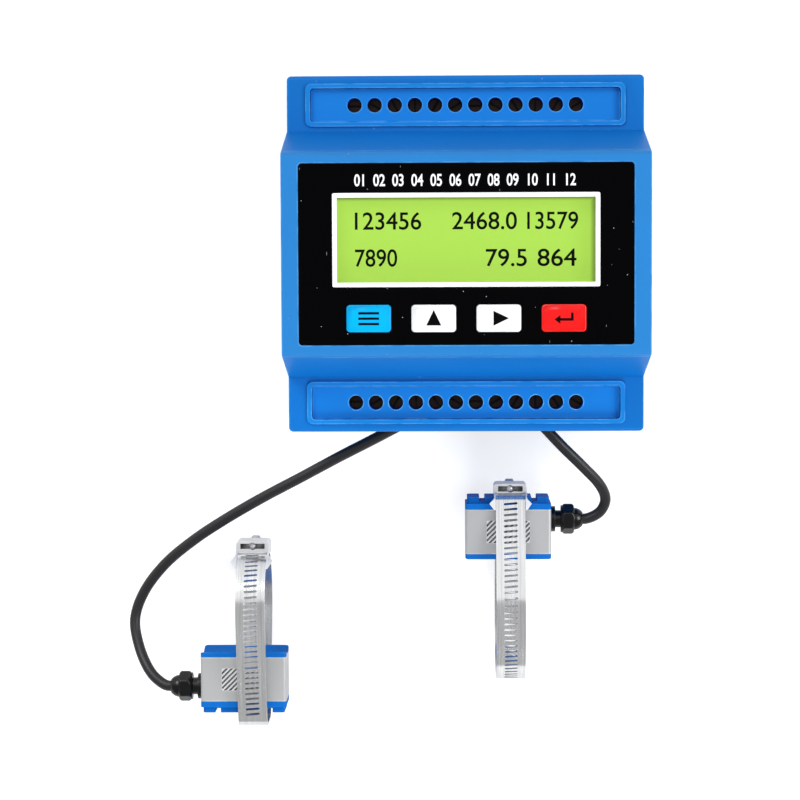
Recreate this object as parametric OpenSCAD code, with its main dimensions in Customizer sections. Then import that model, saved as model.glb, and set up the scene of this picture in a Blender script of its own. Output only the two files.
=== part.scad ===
// Rail-mounted ultrasonic flow meter with two clamp-on sensors on their cables.
// Millimetres. The meter lies on its back: X runs along its width, Y up its face, Z out of the face.
// The origin is the middle of the back face. The sensors lie below the meter, each in its pipe clamp.

/* [Housing] */
// Width of the meter housing
housing_w = 90; // [88:0.5:94]
// Height of the meter housing
housing_h = 90; // [88:0.5:94]
// Depth from the back face to the terminal ledges
ledge_z = 35; // [34:0.5:37]
// Depth from the back face to the front face
housing_d = 60; // [59:0.5:64]
// Depth of each terminal ledge
ledge_d = 14; // [13.5:0.1:15]
// Run of the slope between a ledge and the front face
slope_d = 6.5; // [5:0.1:7]
// Radius of the moulded corners
corner_r = 1.2; // [0.6:0.1:1.6]
// Thickness of the moulded walls
wall = 2; // [1.6:0.1:2.4]
// Height of the rear base above the back face
base_h = 21.8; // [21.2:0.2:22.6]
// Thickness of the front bezel
bezel_t = 2.6; // [2.4:0.1:3]
// Depth of the sill below each terminal bay
sill_d = 4.1; // [4.1:0.1:4.6]
// Distance of each end of a terminal bay from the housing's side
bay_side = 5.5; // [4.6:0.1:5.7]
// Height of the ledge's rim over the bay
bay_lip = 4; // [3:0.1:4.2]

/* [Front panel] */
// Distance of the black overlay from each side of the housing
panel_side = 4.3; // [3.5:0.1:5.5]
// Distance of the overlay from the nose's upper and lower edge
panel_edge = 2.5; // [2:0.1:3]
// Thickness of the front overlay
panel_t = 0.5; // [0.4:0.1:0.6]
// Depth of the recess that holds the overlay
panel_recess = 0.4; // [0.3:0.1:0.5]
// Distance of the display border from each side of the overlay
border_side = 8.2; // [7.8:0.1:9]
// Height of the strip over the display
title_strip = 7.15; // [6.4:0.05:8]
// Height of the strip under the display, which holds the keys
key_strip = 14.05; // [13.6:0.05:14.8]
// Width of the border line round the display
border_line = 1.1; // [0.8:0.1:1.4]

/* [Keys] */
// Width of a key
key_w = 10.8; // [10:0.1:12]
// Height of a key
key_h = 6.6; // [6:0.1:7]
// Corner radius of a key
key_r = 0.9; // [0.6:0.1:1.4]
// Distance of the outer keys' middles from the overlay's sides
key_side = 17; // [16.2:0.1:18.8]
// Distance of the row of keys from the overlay's lower edge
key_edge = 6.4; // [6.1:0.1:6.8]
// Height of a key above the front face
key_rise = 0.6; // [0.5:0.1:0.9]
// Travel of a key
key_travel = 0.4; // [0.3:0.05:0.5]

/* [Terminals] */
// Number of terminals in a row
terminal_count = 12; // [8:1:12]
// Distance between neighbouring terminals
terminal_pitch = 5.08; // [5:0.02:5.2]
// Distance of each row from the housing's upper or lower edge
row_inset = 7.4; // [7:0.1:7.8]
// Diameter of a screw hole
screw_hole_d = 3.7; // [3.4:0.1:3.8]
// Distance of each end of the window round a row from the housing's side
window_side = 5.9; // [5.8:0.1:6.2]
// Width of the window round a row
window_h = 8.4; // [8:0.1:8.8]
// Width of the raised rim round the window
rim_line = 1.2; // [0.8:0.1:1.4]
// Height of the raised rim
rim_rise = 0.5; // [0.3:0.1:0.8]

/* [Rail clip] */
// Width of the channel for a 35 mm mounting rail
rail_slot_w = 35.5; // [35.3:0.1:36]
// Depth of the rail channel
rail_d = 5; // [4.8:0.1:5.4]
// Reach of the hooks over the rail's edges
hook_reach = 1.5; // [1.2:0.1:1.8]
// Width of the sliding latch
latch_w = 18; // [14:0.5:22]
// Travel of the sliding latch
latch_travel = 2.5; // [2:0.1:3]

/* [Sensors] */
// Outer diameter of the pipe that the clamps fit
pipe_d = 26.9; // [26:0.1:28]
// Length of a sensor along the pipe
sensor_l = 22.4; // [22:0.1:24]
// Height of a sensor away from the pipe, with its ridge
sensor_h = 16.3; // [16:0.1:17]
// Thickness of a sensor across the pipe
sensor_t = 12.4; // [12:0.1:13]
// Height of the ridge on the sensor's cap
ridge_h = 1.6; // [1.2:0.1:1.8]
// Height of the blue cap under the ridge
cap_h = 1.6; // [1.4:0.1:2]
// Height of the blue coupling base
base_strip_h = 1.5; // [1.3:0.1:1.8]
// Distance of the cable gland from the sensor's centre towards the ridge
gland_offset = 1.9; // [1.4:0.1:2.2]
// Place of the right sensor along the pipe
right_sensor_x = 11; // [9:0.5:13]
// Place of the left sensor along the pipe
left_sensor_x = -58.4; // [-60:0.1:-56]
// Distance of the pipe's axis below the middle of the housing
pipe_drop = 91.6; // [91:0.1:93]

/* [Clamps] */
// Width of a clamp band
band_w = 7.6; // [7:0.1:8.2]
// Thickness of a clamp band
band_t = 0.7; // [0.6:0.05:0.9]
// Slack of the right band past the pipe
right_slack = 5.85; // [5:0.05:7]
// Slack of the left band past its sensor
left_slack = 2.75; // [2.6:0.05:3.2]
// Sideways place of the right band on its sensor
right_band_shift = 0.6; // [0:0.1:1]
// Sideways place of the left band on its sensor
left_band_shift = 2.5; // [1.5:0.1:2.8]
// Length of the screw housing along the worm
worm_box_l = 8.8; // [8.4:0.1:9.6]
// Height of the screw housing above the band
worm_box_h = 2.6; // [2.5:0.1:3]
// Diameter of the worm
worm_d = 1.9; // [1.7:0.1:2]
// Distance between the band's slots
slot_pitch = 1.42; // [1.35:0.01:1.6]
// Length of a slot across the band
slot_l = 3.6; // [3.2:0.1:4.2]
// Width of a slot along the band
slot_across = 0.6; // [0.5:0.05:0.8]
// Slant of a slot, in degrees
slot_slant = 5; // [3:1:7]

/* [Cables] */
// Diameter of a sensor cable
cable_d = 2.8; // [2.6:0.1:3]
// Diameter of a cable core
core_d = 0.9; // [0.7:0.1:1]

/* [Hidden] */
$fn = 48;

// One overrun serves every cut
over = 1;
// Running clearance of moving parts, and assembly clearance of fixed ones
run_gap = 0.15;
fit_gap = 0.1;
// Share of a full turn between the flats of a hexagon
hex_sides = 6;

// Colours
blue = "#1f6fb8";
panel_black = "#0b0c0f";
steel = "#c9ccd0";
board_green = "#1d6b3a";
plastic_black = "#17181a";

// Widths, heights and places that follow from the housing
nose_base_h = housing_h - 2 * ledge_d;
nose_front_h = nose_base_h - 2 * slope_d;
panel_w = housing_w - 2 * panel_side;
panel_h = nose_front_h - 2 * panel_edge;
border_w = panel_w - 2 * border_side;
border_h = panel_h - title_strip - key_strip;
display_y = (key_strip - title_strip) / 2;
key_drop = panel_h / 2 - key_edge;
row_y = housing_h / 2 - row_inset;
window_w = housing_w - 2 * window_side;
bay_w = housing_w - 2 * bay_side;
bay_top_z = ledge_z - bay_lip;

// Levels of the housing, from the back face
floor_z = rail_d + wall;
bezel_z = housing_d - bezel_t;
panel_z = housing_d - panel_recess;
slope_deg = atan((nose_base_h - nose_front_h) / 2 / (housing_d - ledge_z));
sill_y = housing_h / 2 - sill_d;

// Cooling slots in the side walls
vent_steps = 4;
vent_pitch = 5;
vent_w = 1.6;
vent_h = 8;

// Latch and hooks of the rail clip
rail_lip_gap = 1.3;
hook_t = 1.7;
hook_w = 12;
hook_inset = 9;
latch_t = 3.3;
latch_foot_z = 0.3;
latch_ledge = 1.4;
latch_step = 1.3;
latch_tab = 1.5;
latch_slot_w = 6;
latch_slot_h = 1.4;
latch_pocket_z = latch_foot_z + latch_t + run_gap;
stop_r = 1;
stop_h = 1.2;
stop_back = 13;
stop_y = stop_back - housing_h / 2;

// Boards and their posts
board_t = 1.6;
board_edge_gap = 0.9;
main_board_drop = 2.8;
main_board_z = base_h - main_board_drop;
main_board_w = housing_w - 2 * wall - 2 * board_edge_gap;
main_board_h = 2 * (sill_y - board_edge_gap);
main_post_inset = [7.1, 18];
main_post_x = main_board_w / 2 - main_post_inset[0];
main_post_y = main_board_h / 2 - main_post_inset[1];
post_r = 2.5;
screw_r = 1;
screw_head_r = 1.9;
screw_head_h = 1.2;
screw_l = 5;
display_board_drop = 7.4;
display_board_inset = [1.7, 0.5];
display_post_inset = [2.6, 2.5];
display_post_r = 1.8;
display_board_z = bezel_z - display_board_drop;
display_board_w = panel_w - 2 * display_board_inset[0];
display_board_h = panel_h - 2 * display_board_inset[1];
display_post_x = display_board_w / 2 - display_post_inset[0];
display_post_y = display_board_h / 2 - display_post_inset[1];

// Display stack, seen through the bezel
opening_gap = 0.1;
border_deep = 1.55;
pane_margin = 0.65;
pane_t = 1.1;
glass_t = 1.05;
lcd_board_t = 1.6;
backlight_t = 2.65;
lcd_frame_t = 0.5;
lcd_board_margin = 2.5;
view_w = border_w - 2 * border_line;
view_h = border_h - 2 * border_line;
pane_w = border_w + 2 * pane_margin;
pane_h = border_h + 2 * pane_margin;
pane_z = bezel_z + fit_gap / 2;
lcd_board_z = display_board_z + board_t;
backlight_z = lcd_board_z + lcd_board_t;
glass_z = backlight_z + backlight_t;
lcd_top_z = glass_z + glass_t;

// Keys and their switches
key_flange = 0.7;
key_flange_t = 0.6;
key_stem = 4;
key_stem_h = 1.1;
switch_w = 6;
switch_r = 1.6;
plunger_h = 0.55;
key_flange_z = bezel_z - fit_gap - key_flange_t;
key_stem_z = key_flange_z - key_stem_h;
switch_top_z = key_stem_z - key_travel - run_gap;

// Terminal blocks
block_gap = 0.2;
block_reach = 7.6;
block_in_y = row_y - block_reach;
block_step_drop = 0.5;
block_step_z = bay_top_z - block_step_drop;
block_top_drop = 0.8;
block_top_z = ledge_z - block_top_drop;
block_z = main_board_z + board_t;
way_w = 3.6;
way_lift = 0.4;
way_z = base_h + way_lift;
way_h = 4.2;
way_reach = 2.7;
way_in_y = row_y - way_reach;
seat_t = 1.2;
cage_gap = 0.1;
cage_wall = 0.4;
seat_z = way_z + way_h + seat_t;
neck_d = 2.5;
terminal_head_d = 3.3;
terminal_head_h = 1.5;
terminal_shank_d = 2.3;
terminal_shank_l = 3.2;
slot_w = 0.6;
slot_deep = 0.7;

// Unit vector at an angle
function unit(a) = [cos(a), sin(a)];

// Direction from the centre of each of two circles [x, y, r] to where their common outer tangent touches them
function tangent_dir(a, b) =
    unit(atan2(b[1] - a[1], b[0] - a[0]) - acos((a[2] - b[2]) / norm([b[0] - a[0], b[1] - a[1]])));

// Points where a belt round a list of circles leaves and meets each circle, anticlockwise
function belt_points(c) = [
    for (i = [0 : len(c) - 1])
        let (a = c[i], b = c[(i + 1) % len(c)], n = tangent_dir(a, b))
        each [[a[0], a[1]] + a[2] * n, [b[0], b[1]] + b[2] * n]
];

// Outline of a belt round circles, each grown by the same amount
module belt(circles, grow = 0) {
    grown = [for (k = circles) [k[0], k[1], k[2] + grow]];
    polygon(belt_points(grown));
    for (k = grown)
        if (k[2] > 0)
            translate([k[0], k[1]]) circle(r = k[2]);
}

// Rectangle with round corners, about its middle
module rounded(w, h, r) {
    x = w / 2 - r;
    y = h / 2 - r;
    belt([[-x, -y, r], [x, -y, r], [x, y, r], [-x, y, r]]);
}

// Draws an outline given as [Y, Z] and stretches it along X about the middle
module along_x(length) {
    rotate([90, 0, 90]) linear_extrude(height = length, center = true) children();
}

// Box from its low corner to its high corner
module box(low, high) {
    translate(low) cube(high - low);
}

// Half height of the nose at a level
function nose_half(z) = (nose_front_h + (nose_base_h - nose_front_h) * (housing_d - z) / (housing_d - ledge_z)) / 2;

// Side profile of the housing, moved inwards by an inset
module housing_profile(inset = 0) {
    r = max(corner_r - inset, corner_r / 2);
    y = housing_h / 2 - inset - r;
    low = inset + r;
    high = ledge_z - inset - r;
    belt([[-y, low, r], [y, low, r], [y, high, r], [-y, high, r]]);
    lean = inset / cos(slope_deg);
    foot_z = ledge_z - inset - wall;
    foot_y = nose_half(foot_z) - lean;
    top_z = housing_d - inset - r;
    top_y = nose_half(top_z) - lean - r / cos(slope_deg);
    belt([[-foot_y, foot_z, 0], [foot_y, foot_z, 0], [top_y, top_z, r], [-top_y, top_z, r]]);
}

// Housing block between two levels
module housing_slice(low_z, high_z, inset = 0) {
    intersection() {
        along_x(housing_w - 2 * inset) housing_profile(inset);
        translate([0, 0, low_z])
            linear_extrude(height = high_z - low_z)
                rounded(housing_w - 2 * inset, housing_h - 2 * inset, corner_r);
    }
}

// Inside of the nose between two levels, open at both ends
module nose_core(low_z, high_z, inset) {
    lean = inset / cos(slope_deg);
    low_y = nose_half(low_z) - lean;
    high_y = nose_half(high_z) - lean;
    along_x(housing_w - 2 * inset)
        polygon([[-low_y, low_z], [low_y, low_z], [high_y, high_z], [-high_y, high_z]]);
}

module rear_base() {
    half_w = housing_w / 2;
    half_h = housing_h / 2;
    slot_y = rail_slot_w / 2;
    pocket_x = latch_w / 2 + run_gap;
    color(blue) {
        difference() {
            housing_slice(0, base_h);
            box([wall - half_w, -sill_y, floor_z], [half_w - wall, sill_y, base_h + over]);
            box([-half_w - over, -slot_y, -over], [half_w + over, slot_y, rail_d]);
            // Channel in which the latch slides, with guide lips along its mouth
            box([-pocket_x, -half_h - over, latch_foot_z + latch_step - run_gap],
                [pocket_x, over - slot_y, latch_pocket_z]);
            box([latch_ledge - pocket_x, -half_h - over, -over],
                [pocket_x - latch_ledge, over - slot_y, latch_pocket_z]);
            // Cooling slots in the two side walls
            for (side = [-1, 1], i = [-vent_steps : vent_steps])
                translate([side * half_w, i * vent_pitch, (floor_z + base_h) / 2])
                    cube([2 * wall + over, vent_w, vent_h], center = true);
        }
        for (x = [-1, 1])
            translate([x * (half_w - hook_inset), slot_y, rail_d - rail_lip_gap])
                box([-hook_w / 2, -hook_reach, -hook_t], [hook_w / 2, over, 0]);
        // Peg that stops the latch at the end of its travel
        translate([0, stop_y, latch_pocket_z - stop_h]) cylinder(r = stop_r, h = stop_h + over);
        for (x = [-1, 1], y = [-1, 1])
            translate([x * main_post_x, y * main_post_y, floor_z - over])
                difference() {
                    cylinder(r = post_r, h = main_board_z - floor_z + over);
                    translate([0, 0, main_board_z - floor_z + over - screw_l])
                        cylinder(r = screw_r, h = screw_l + over);
                }
    }
}

module terminal_shell() {
    half_h = housing_h / 2;
    color(blue) {
        difference() {
            housing_slice(base_h, bezel_z);
            box([wall - housing_w / 2, wall - half_h, base_h - over],
                [housing_w / 2 - wall, half_h - wall, ledge_z - wall]);
            nose_core(ledge_z - wall - over, bezel_z + over, wall);
            for (side = [-1, 1]) {
                translate([0, side * row_y, ledge_z - wall - over])
                    linear_extrude(height = wall + 2 * over) rounded(window_w, window_h, key_r);
                translate([0, side * (sill_y + sill_d), (base_h + bay_top_z) / 2])
                    cube([bay_w, 2 * sill_d, bay_top_z - base_h], center = true);
            }
        }
        for (side = [-1, 1])
            translate([0, side * row_y, ledge_z])
                linear_extrude(height = rim_rise)
                    difference() {
                        rounded(window_w + 2 * rim_line, window_h + 2 * rim_line, key_r + rim_line / 2);
                        rounded(window_w, window_h, key_r);
                    }
    }
}

// Places of the four keys, from left to right
key_count = 4;
key_pitch = (panel_w - 2 * key_side) / (key_count - 1);
key_places = [for (i = [0 : key_count - 1]) [(i - (key_count - 1) / 2) * key_pitch, -key_drop]];

module front_bezel() {
    tongue_h = 1.5;
    tongue_t = 1.2;
    color(blue) {
        difference() {
            housing_slice(bezel_z, housing_d);
            translate([0, 0, panel_z])
                linear_extrude(height = bezel_t) rounded(panel_w + 2 * fit_gap, panel_h + 2 * fit_gap, key_r);
            translate([0, display_y, bezel_z - over])
                linear_extrude(height = bezel_t + 2 * over)
                    rounded(border_w + 2 * opening_gap, border_h + 2 * opening_gap, key_r / 2);
            translate([0, display_y, bezel_z - over])
                linear_extrude(height = over + pane_t + fit_gap)
                    rounded(pane_w + 2 * fit_gap, pane_h + 2 * fit_gap, key_r / 2);
            for (p = key_places)
                translate([p[0], p[1], bezel_z - over])
                    linear_extrude(height = bezel_t + 2 * over)
                        rounded(key_w + 2 * run_gap, key_h + 2 * run_gap, key_r);
        }
        // Tongue that plugs into the shell
        difference() {
            nose_core(bezel_z - tongue_h, bezel_z, wall + fit_gap);
            nose_core(bezel_z - tongue_h - over, bezel_z + over, wall + fit_gap + tongue_t);
        }
        for (x = [-1, 1], y = [-1, 1])
            translate([x * display_post_x, y * display_post_y, lcd_board_z])
                difference() {
                    cylinder(r = display_post_r, h = bezel_z - lcd_board_z);
                    translate([0, 0, -over]) cylinder(r = screw_r, h = screw_l - board_t + over);
                }
    }
}

module rail_latch() {
    half_w = latch_w / 2;
    top_z = latch_foot_z + latch_t;
    step_z = latch_foot_z + latch_step;
    far_y = -housing_h / 2 - latch_tab;
    lip_y = hook_reach - rail_slot_w / 2;
    lip_low_z = rail_d - rail_lip_gap - hook_t;
    color(panel_black)
        difference() {
            union() {
                box([-half_w, far_y, step_z], [half_w, run_gap - rail_slot_w / 2, top_z]);
                box([latch_ledge + run_gap - half_w, far_y, latch_foot_z],
                    [half_w - latch_ledge - run_gap, -rail_slot_w / 2 - run_gap, top_z]);
                // Lip that holds the rail's edge, sloped so that the rail snaps past it
                along_x(latch_w)
                    polygon([[-rail_slot_w / 2, lip_low_z], [lip_y - hook_t / 2, lip_low_z],
                             [lip_y, top_z - hook_t / 2], [lip_y, top_z], [-rail_slot_w / 2, top_z]]);
            }
            // Groove for the stop peg
            box([-stop_r - run_gap, stop_y - stop_r - run_gap, top_z - stop_h],
                [stop_r + run_gap, stop_y + stop_r + latch_travel + run_gap, top_z + over]);
            // Slot for a screwdriver
            translate([0, -housing_h / 2 + latch_slot_h / 2, 0])
                box([-latch_slot_w / 2, -latch_slot_h / 2, -over], [latch_slot_w / 2, latch_slot_h / 2, top_z + over]);
        }
}

module front_overlay() {
    color(panel_black)
        translate([0, 0, panel_z])
            linear_extrude(height = panel_t)
                difference() {
                    rounded(panel_w, panel_h, key_r);
                    translate([0, display_y]) rounded(border_w + 2 * opening_gap, border_h + 2 * opening_gap, key_r / 2);
                    for (p = key_places)
                        translate(p) rounded(key_w + 2 * run_gap, key_h + 2 * run_gap, key_r);
                }
}

module display_border() {
    color("white")
        translate([0, display_y, panel_z + panel_t + fit_gap - border_deep])
            linear_extrude(height = border_deep)
                difference() {
                    rounded(border_w, border_h, key_r / 2);
                    square([view_w, view_h], center = true);
                }
}

module display_window() {
    color("#c8f0a0")
        translate([0, display_y, pane_z])
            linear_extrude(height = pane_t) rounded(pane_w, pane_h, key_r / 2);
}

// Key cap with a flange behind the bezel and a stem over its switch
module key(i, tint) {
    bevel = key_rise / 3;
    top_z = housing_d + key_rise;
    color(tint)
        translate([key_places[i][0], key_places[i][1], 0]) {
            translate([0, 0, key_flange_z])
                linear_extrude(height = top_z - bevel - key_flange_z) rounded(key_w, key_h, key_r);
            translate([0, 0, top_z - bevel])
                linear_extrude(height = bevel) rounded(key_w - 2 * bevel, key_h - 2 * bevel, key_r);
            translate([0, 0, key_flange_z])
                linear_extrude(height = key_flange_t)
                    rounded(key_w + 2 * key_flange, key_h + 2 * key_flange, key_r);
            translate([0, 0, key_stem_z])
                linear_extrude(height = key_stem_h) square(key_stem, center = true);
        }
}

module menu_key() { key(0, "#2f8fd8"); }
module up_key() { key(1, "white"); }
module right_key() { key(2, "white"); }
module enter_key() { key(3, "#e0262c"); }

module key_switches() {
    low_z = display_board_z + board_t;
    color(plastic_black)
        for (p = key_places)
            translate([p[0], p[1], low_z]) {
                linear_extrude(height = switch_top_z - plunger_h - low_z) square(switch_w, center = true);
                cylinder(r = switch_r, h = switch_top_z - low_z);
            }
}

module lcd_glass() {
    color("#b7e86a")
        translate([0, display_y, glass_z])
            linear_extrude(height = glass_t)
                square([border_w - fit_gap, border_h - fit_gap], center = true);
}

module lcd_backlight() {
    color("#e8ffd0")
        translate([0, display_y, backlight_z])
            linear_extrude(height = backlight_t)
                square([border_w - fit_gap, border_h - fit_gap], center = true);
}

// Pressed steel frame that holds the glass and the backlight on their board
module lcd_bezel() {
    lip_t = pane_z - fit_gap / 2 - lcd_top_z;
    inner = [border_w + fit_gap, border_h + fit_gap];
    color(steel)
        translate([0, display_y, backlight_z])
            difference() {
                linear_extrude(height = backlight_t + glass_t + lip_t)
                    square(inner + 2 * [lcd_frame_t, lcd_frame_t], center = true);
                translate([0, 0, -over])
                    linear_extrude(height = over + backlight_t + glass_t) square(inner, center = true);
                linear_extrude(height = backlight_t + glass_t + lip_t + over)
                    square([view_w, view_h], center = true);
            }
}

module lcd_board() {
    color(board_green)
        translate([0, display_y, lcd_board_z])
            linear_extrude(height = lcd_board_t)
                square([border_w + lcd_board_margin, border_h + lcd_board_margin], center = true);
}

// Board with a hole at each post
module board(w, h, post_x, post_y) {
    linear_extrude(height = board_t)
        difference() {
            rounded(w, h, post_r / 2);
            for (x = [-1, 1], y = [-1, 1])
                translate([x * post_x, y * post_y]) circle(r = screw_r + fit_gap);
        }
}

module display_board() {
    color(board_green)
        translate([0, 0, display_board_z]) board(display_board_w, display_board_h, display_post_x, display_post_y);
}

// Pan-head screw whose shank points up from its head's seat
module pan_screw() {
    translate([0, 0, -screw_head_h])
        difference() {
            cylinder(r = screw_head_r, h = screw_head_h);
            translate([0, 0, -over])
                linear_extrude(height = over + slot_deep) square([2 * screw_head_r - slot_w, slot_w], center = true);
        }
    cylinder(r = screw_r - fit_gap / 2, h = screw_l - fit_gap);
}

module display_screws() {
    color(steel)
        for (x = [-1, 1], y = [-1, 1])
            translate([x * display_post_x, y * display_post_y, display_board_z]) pan_screw();
}

module main_board() {
    color(board_green)
        translate([0, 0, main_board_z]) board(main_board_w, main_board_h, main_post_x, main_post_y);
}

module board_screws() {
    color(steel)
        for (x = [-1, 1], y = [-1, 1])
            translate([x * main_post_x, y * main_post_y, block_z])
                mirror([0, 0, 1]) pan_screw();
}

// Plug and socket of the flat cable between the two boards
header_w = 26;
header_h = 6;
header_l = 8.5;
header_y = 12;
ribbon_w = 22;
ribbon_t = 0.9;

module board_headers() {
    color(plastic_black)
        for (z = [block_z, display_board_z - header_l])
            translate([0, header_y, z])
                linear_extrude(height = header_l) square([header_w, header_h], center = true);
}

module ribbon_cable() {
    color("#9aa0a6")
        translate([0, header_y, block_z + header_l])
            linear_extrude(height = display_board_z - block_z - 2 * header_l)
                square([ribbon_w, ribbon_t], center = true);
}

// Chips on the main board, as [x, y, width, height]
low_row_gap = 10;
chip_row_gap = 8;
low_row_y = low_row_gap - block_in_y;
chip_t = 1.6;
chip_row_y = low_row_y + chip_row_gap;
chip_places = [[-22, 6, 14, 14], [-24, chip_row_y, 8, 5], [-12, chip_row_y, 8, 5], [-6, 2, 7, 5], [24, 4, 9, 6]];
module chips() {
    color(plastic_black)
        for (c = chip_places)
            translate([c[0], c[1], block_z])
                linear_extrude(height = chip_t) square([c[2], c[3]], center = true);
}

capacitor_r = 4;
capacitor_h = 12;
capacitor_pitch = 9.5;
capacitor_count = 3;
capacitor_post_gap = 10;
capacitor_places = [
    for (i = [0 : capacitor_count - 1]) [main_post_x - capacitor_post_gap - i * capacitor_pitch, low_row_y]
];
module filter_capacitors() {
    color("#26304a")
        for (c = capacitor_places)
            translate([c[0], c[1], block_z]) {
                cylinder(r = capacitor_r, h = capacitor_h - capacitor_r / 4);
                cylinder(r = capacitor_r - slot_w / 2, h = capacitor_h);
            }
}

battery_r = 6.2;
battery_t = 2.5;
battery_gap = 1.8;
battery_place = [-14, battery_r + battery_gap - block_in_y];
module backup_battery() {
    color(steel)
        translate([battery_place[0], battery_place[1], block_z]) {
            cylinder(r = battery_r, h = battery_t - slot_w / 2);
            cylinder(r = battery_r - slot_w, h = battery_t);
        }
}

relay_size = [15, 8, 10];
relay_gap = 12;
relay_place = [11, low_row_y + relay_gap];
module output_relay() {
    color("#2b6fb4")
        translate([relay_place[0], relay_place[1], block_z])
            linear_extrude(height = relay_size[2]) square([relay_size[0], relay_size[1]], center = true);
}

// Places of the terminals along a row
way_places = [for (i = [0 : terminal_count - 1]) (i - (terminal_count - 1) / 2) * terminal_pitch];

// Terminal block of the upper row: a stepped bar with a screw hole and a wire way for each terminal
module terminal_block() {
    length = window_w - block_gap;
    color(blue)
        difference() {
            union() {
                along_x(length)
                    polygon([[block_in_y, block_z], [sill_y, block_z],
                             [sill_y, block_step_z], [block_in_y, block_step_z]]);
                translate([0, row_y, block_step_z - wall])
                    linear_extrude(height = block_top_z - block_step_z + wall)
                        rounded(length, window_h - block_gap, key_r);
            }
            for (x = way_places) {
                translate([x, row_y, seat_z]) cylinder(d = screw_hole_d, h = block_top_z - seat_z + over);
                translate([x, row_y, way_z]) cylinder(d = neck_d, h = seat_z - way_z + over);
                box([x - way_w / 2, way_in_y, way_z], [x + way_w / 2, sill_y + over, way_z + way_h]);
            }
        }
}

// Slotted screws, each turned a little differently
module terminal_screws() {
    color(steel)
        for (i = [0 : terminal_count - 1])
            translate([way_places[i], row_y, seat_z + fit_gap / 2])
                rotate([0, 0, i * 360 / terminal_count * 5])
                    difference() {
                        union() {
                            cylinder(d = terminal_head_d, h = terminal_head_h);
                            translate([0, 0, -terminal_shank_l])
                                cylinder(d = terminal_shank_d, h = terminal_shank_l);
                        }
                        translate([0, 0, terminal_head_h - slot_deep])
                            linear_extrude(height = slot_deep + over)
                                square([terminal_head_d + over, slot_w], center = true);
                    }
}

// Wire clamps: square sleeves that the screws press on the wires
module wire_clamps() {
    w = way_w - 2 * cage_gap;
    h = way_h - 2 * cage_gap;
    low_y = way_in_y + cage_gap;
    high_y = sill_y - slot_w;
    color(steel)
        for (x = way_places)
            translate([x, 0, way_z + cage_gap])
                difference() {
                    box([-w / 2, low_y, 0], [w / 2, high_y, h]);
                    box([cage_wall - w / 2, low_y - over, cage_wall], [w / 2 - cage_wall, high_y + over, h - cage_wall]);
                    translate([0, row_y, h - cage_wall - over])
                        cylinder(d = terminal_shank_d + fit_gap, h = cage_wall + 2 * over);
                }
}

module upper_terminal_block() { terminal_block(); }
module lower_terminal_block() { mirror([0, 1, 0]) terminal_block(); }
module upper_terminal_screws() { terminal_screws(); }
module lower_terminal_screws() { mirror([0, 1, 0]) terminal_screws(); }
module upper_wire_clamps() { wire_clamps(); }
module lower_wire_clamps() { mirror([0, 1, 0]) wire_clamps(); }

// Sensors: each is drawn about its own middle, with its ridge towards +Y and its gland towards +X
pipe_r = pipe_d / 2;
bench_gap = 0.05;
clamp_z = pipe_r + band_t + bench_gap;
saddle_land = 0.25;
couplant_gap = 0.2;
sensor_reach = sqrt(pow(pipe_r, 2) - pow(sensor_t / 2 - saddle_land, 2)) + sensor_h / 2;
right_sensor_at = [right_sensor_x, sensor_reach - pipe_drop, clamp_z];
left_sensor_at = [left_sensor_x, -sensor_reach - pipe_drop, clamp_z];
sensor_wall = 1.3;
sensor_r = 0.8;
base_top_y = base_strip_h - sensor_h / 2;
cap_low_y = sensor_h / 2 - ridge_h - cap_h;
plug_h = 1.2;
ridge_inset_x = 0.5;
ridge_inset_z = 1.3;
notch_x = 6.8;
notch_w = 1.4;
notch_deep = 1.2;
pad_w = 11.2;
pad_h = 5.8;
pad_deep = 0.5;
pad_rib_pitch = 0.92;
pad_rib_w = 0.42;
wedge_low_h = 1.6;
wedge_deg = 20;
piezo_r = 4;
piezo_t = 0.8;
damping_t = 2.2;
case_in_w = sensor_l - 2 * sensor_wall;
case_in_t = sensor_t - 2 * sensor_wall;

// Gland, from the sensor's side outwards
thread_r = 2.1;
flange_r = 3.35;
flange_l = 1.2;
neck_r = 2.25;
neck_l = 1.5;
nut_flats = 7.1;
nut_rim_l = 0.4;
nut_l = 3;
dome_r = 2.9;
dome_l = 2.3;
seal_l = 2;
cable_bore_r = cable_d / 2 + fit_gap;
flange_x = sensor_l / 2;
neck_x = flange_x + flange_l;
nut_x = neck_x + neck_l;
dome_x = nut_x + nut_rim_l + nut_l;
gland_end_x = dome_x + dome_l;
thread_end_x = nut_x + nut_rim_l + fit_gap;
seal_end_x = thread_end_x + seal_l;

// Right sensor as drawn, left sensor turned half round
module right_side() { translate(right_sensor_at) children(); }
module left_side() { translate(left_sensor_at) rotate([0, 0, 180]) children(); }

// Bar along Y with an outline given as [X, Z], between two heights
module upright(low_y, high_y) {
    translate([0, high_y, 0]) rotate([90, 0, 0]) linear_extrude(height = high_y - low_y) children();
}

// Cylinder along X from one place to another, on the gland's axis
module gland_bar(from_x, to_x, r, sides = $fn) {
    translate([from_x, gland_offset, 0])
        rotate([0, 90, 0]) cylinder(r = r, h = to_x - from_x, $fn = sides);
}

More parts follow.
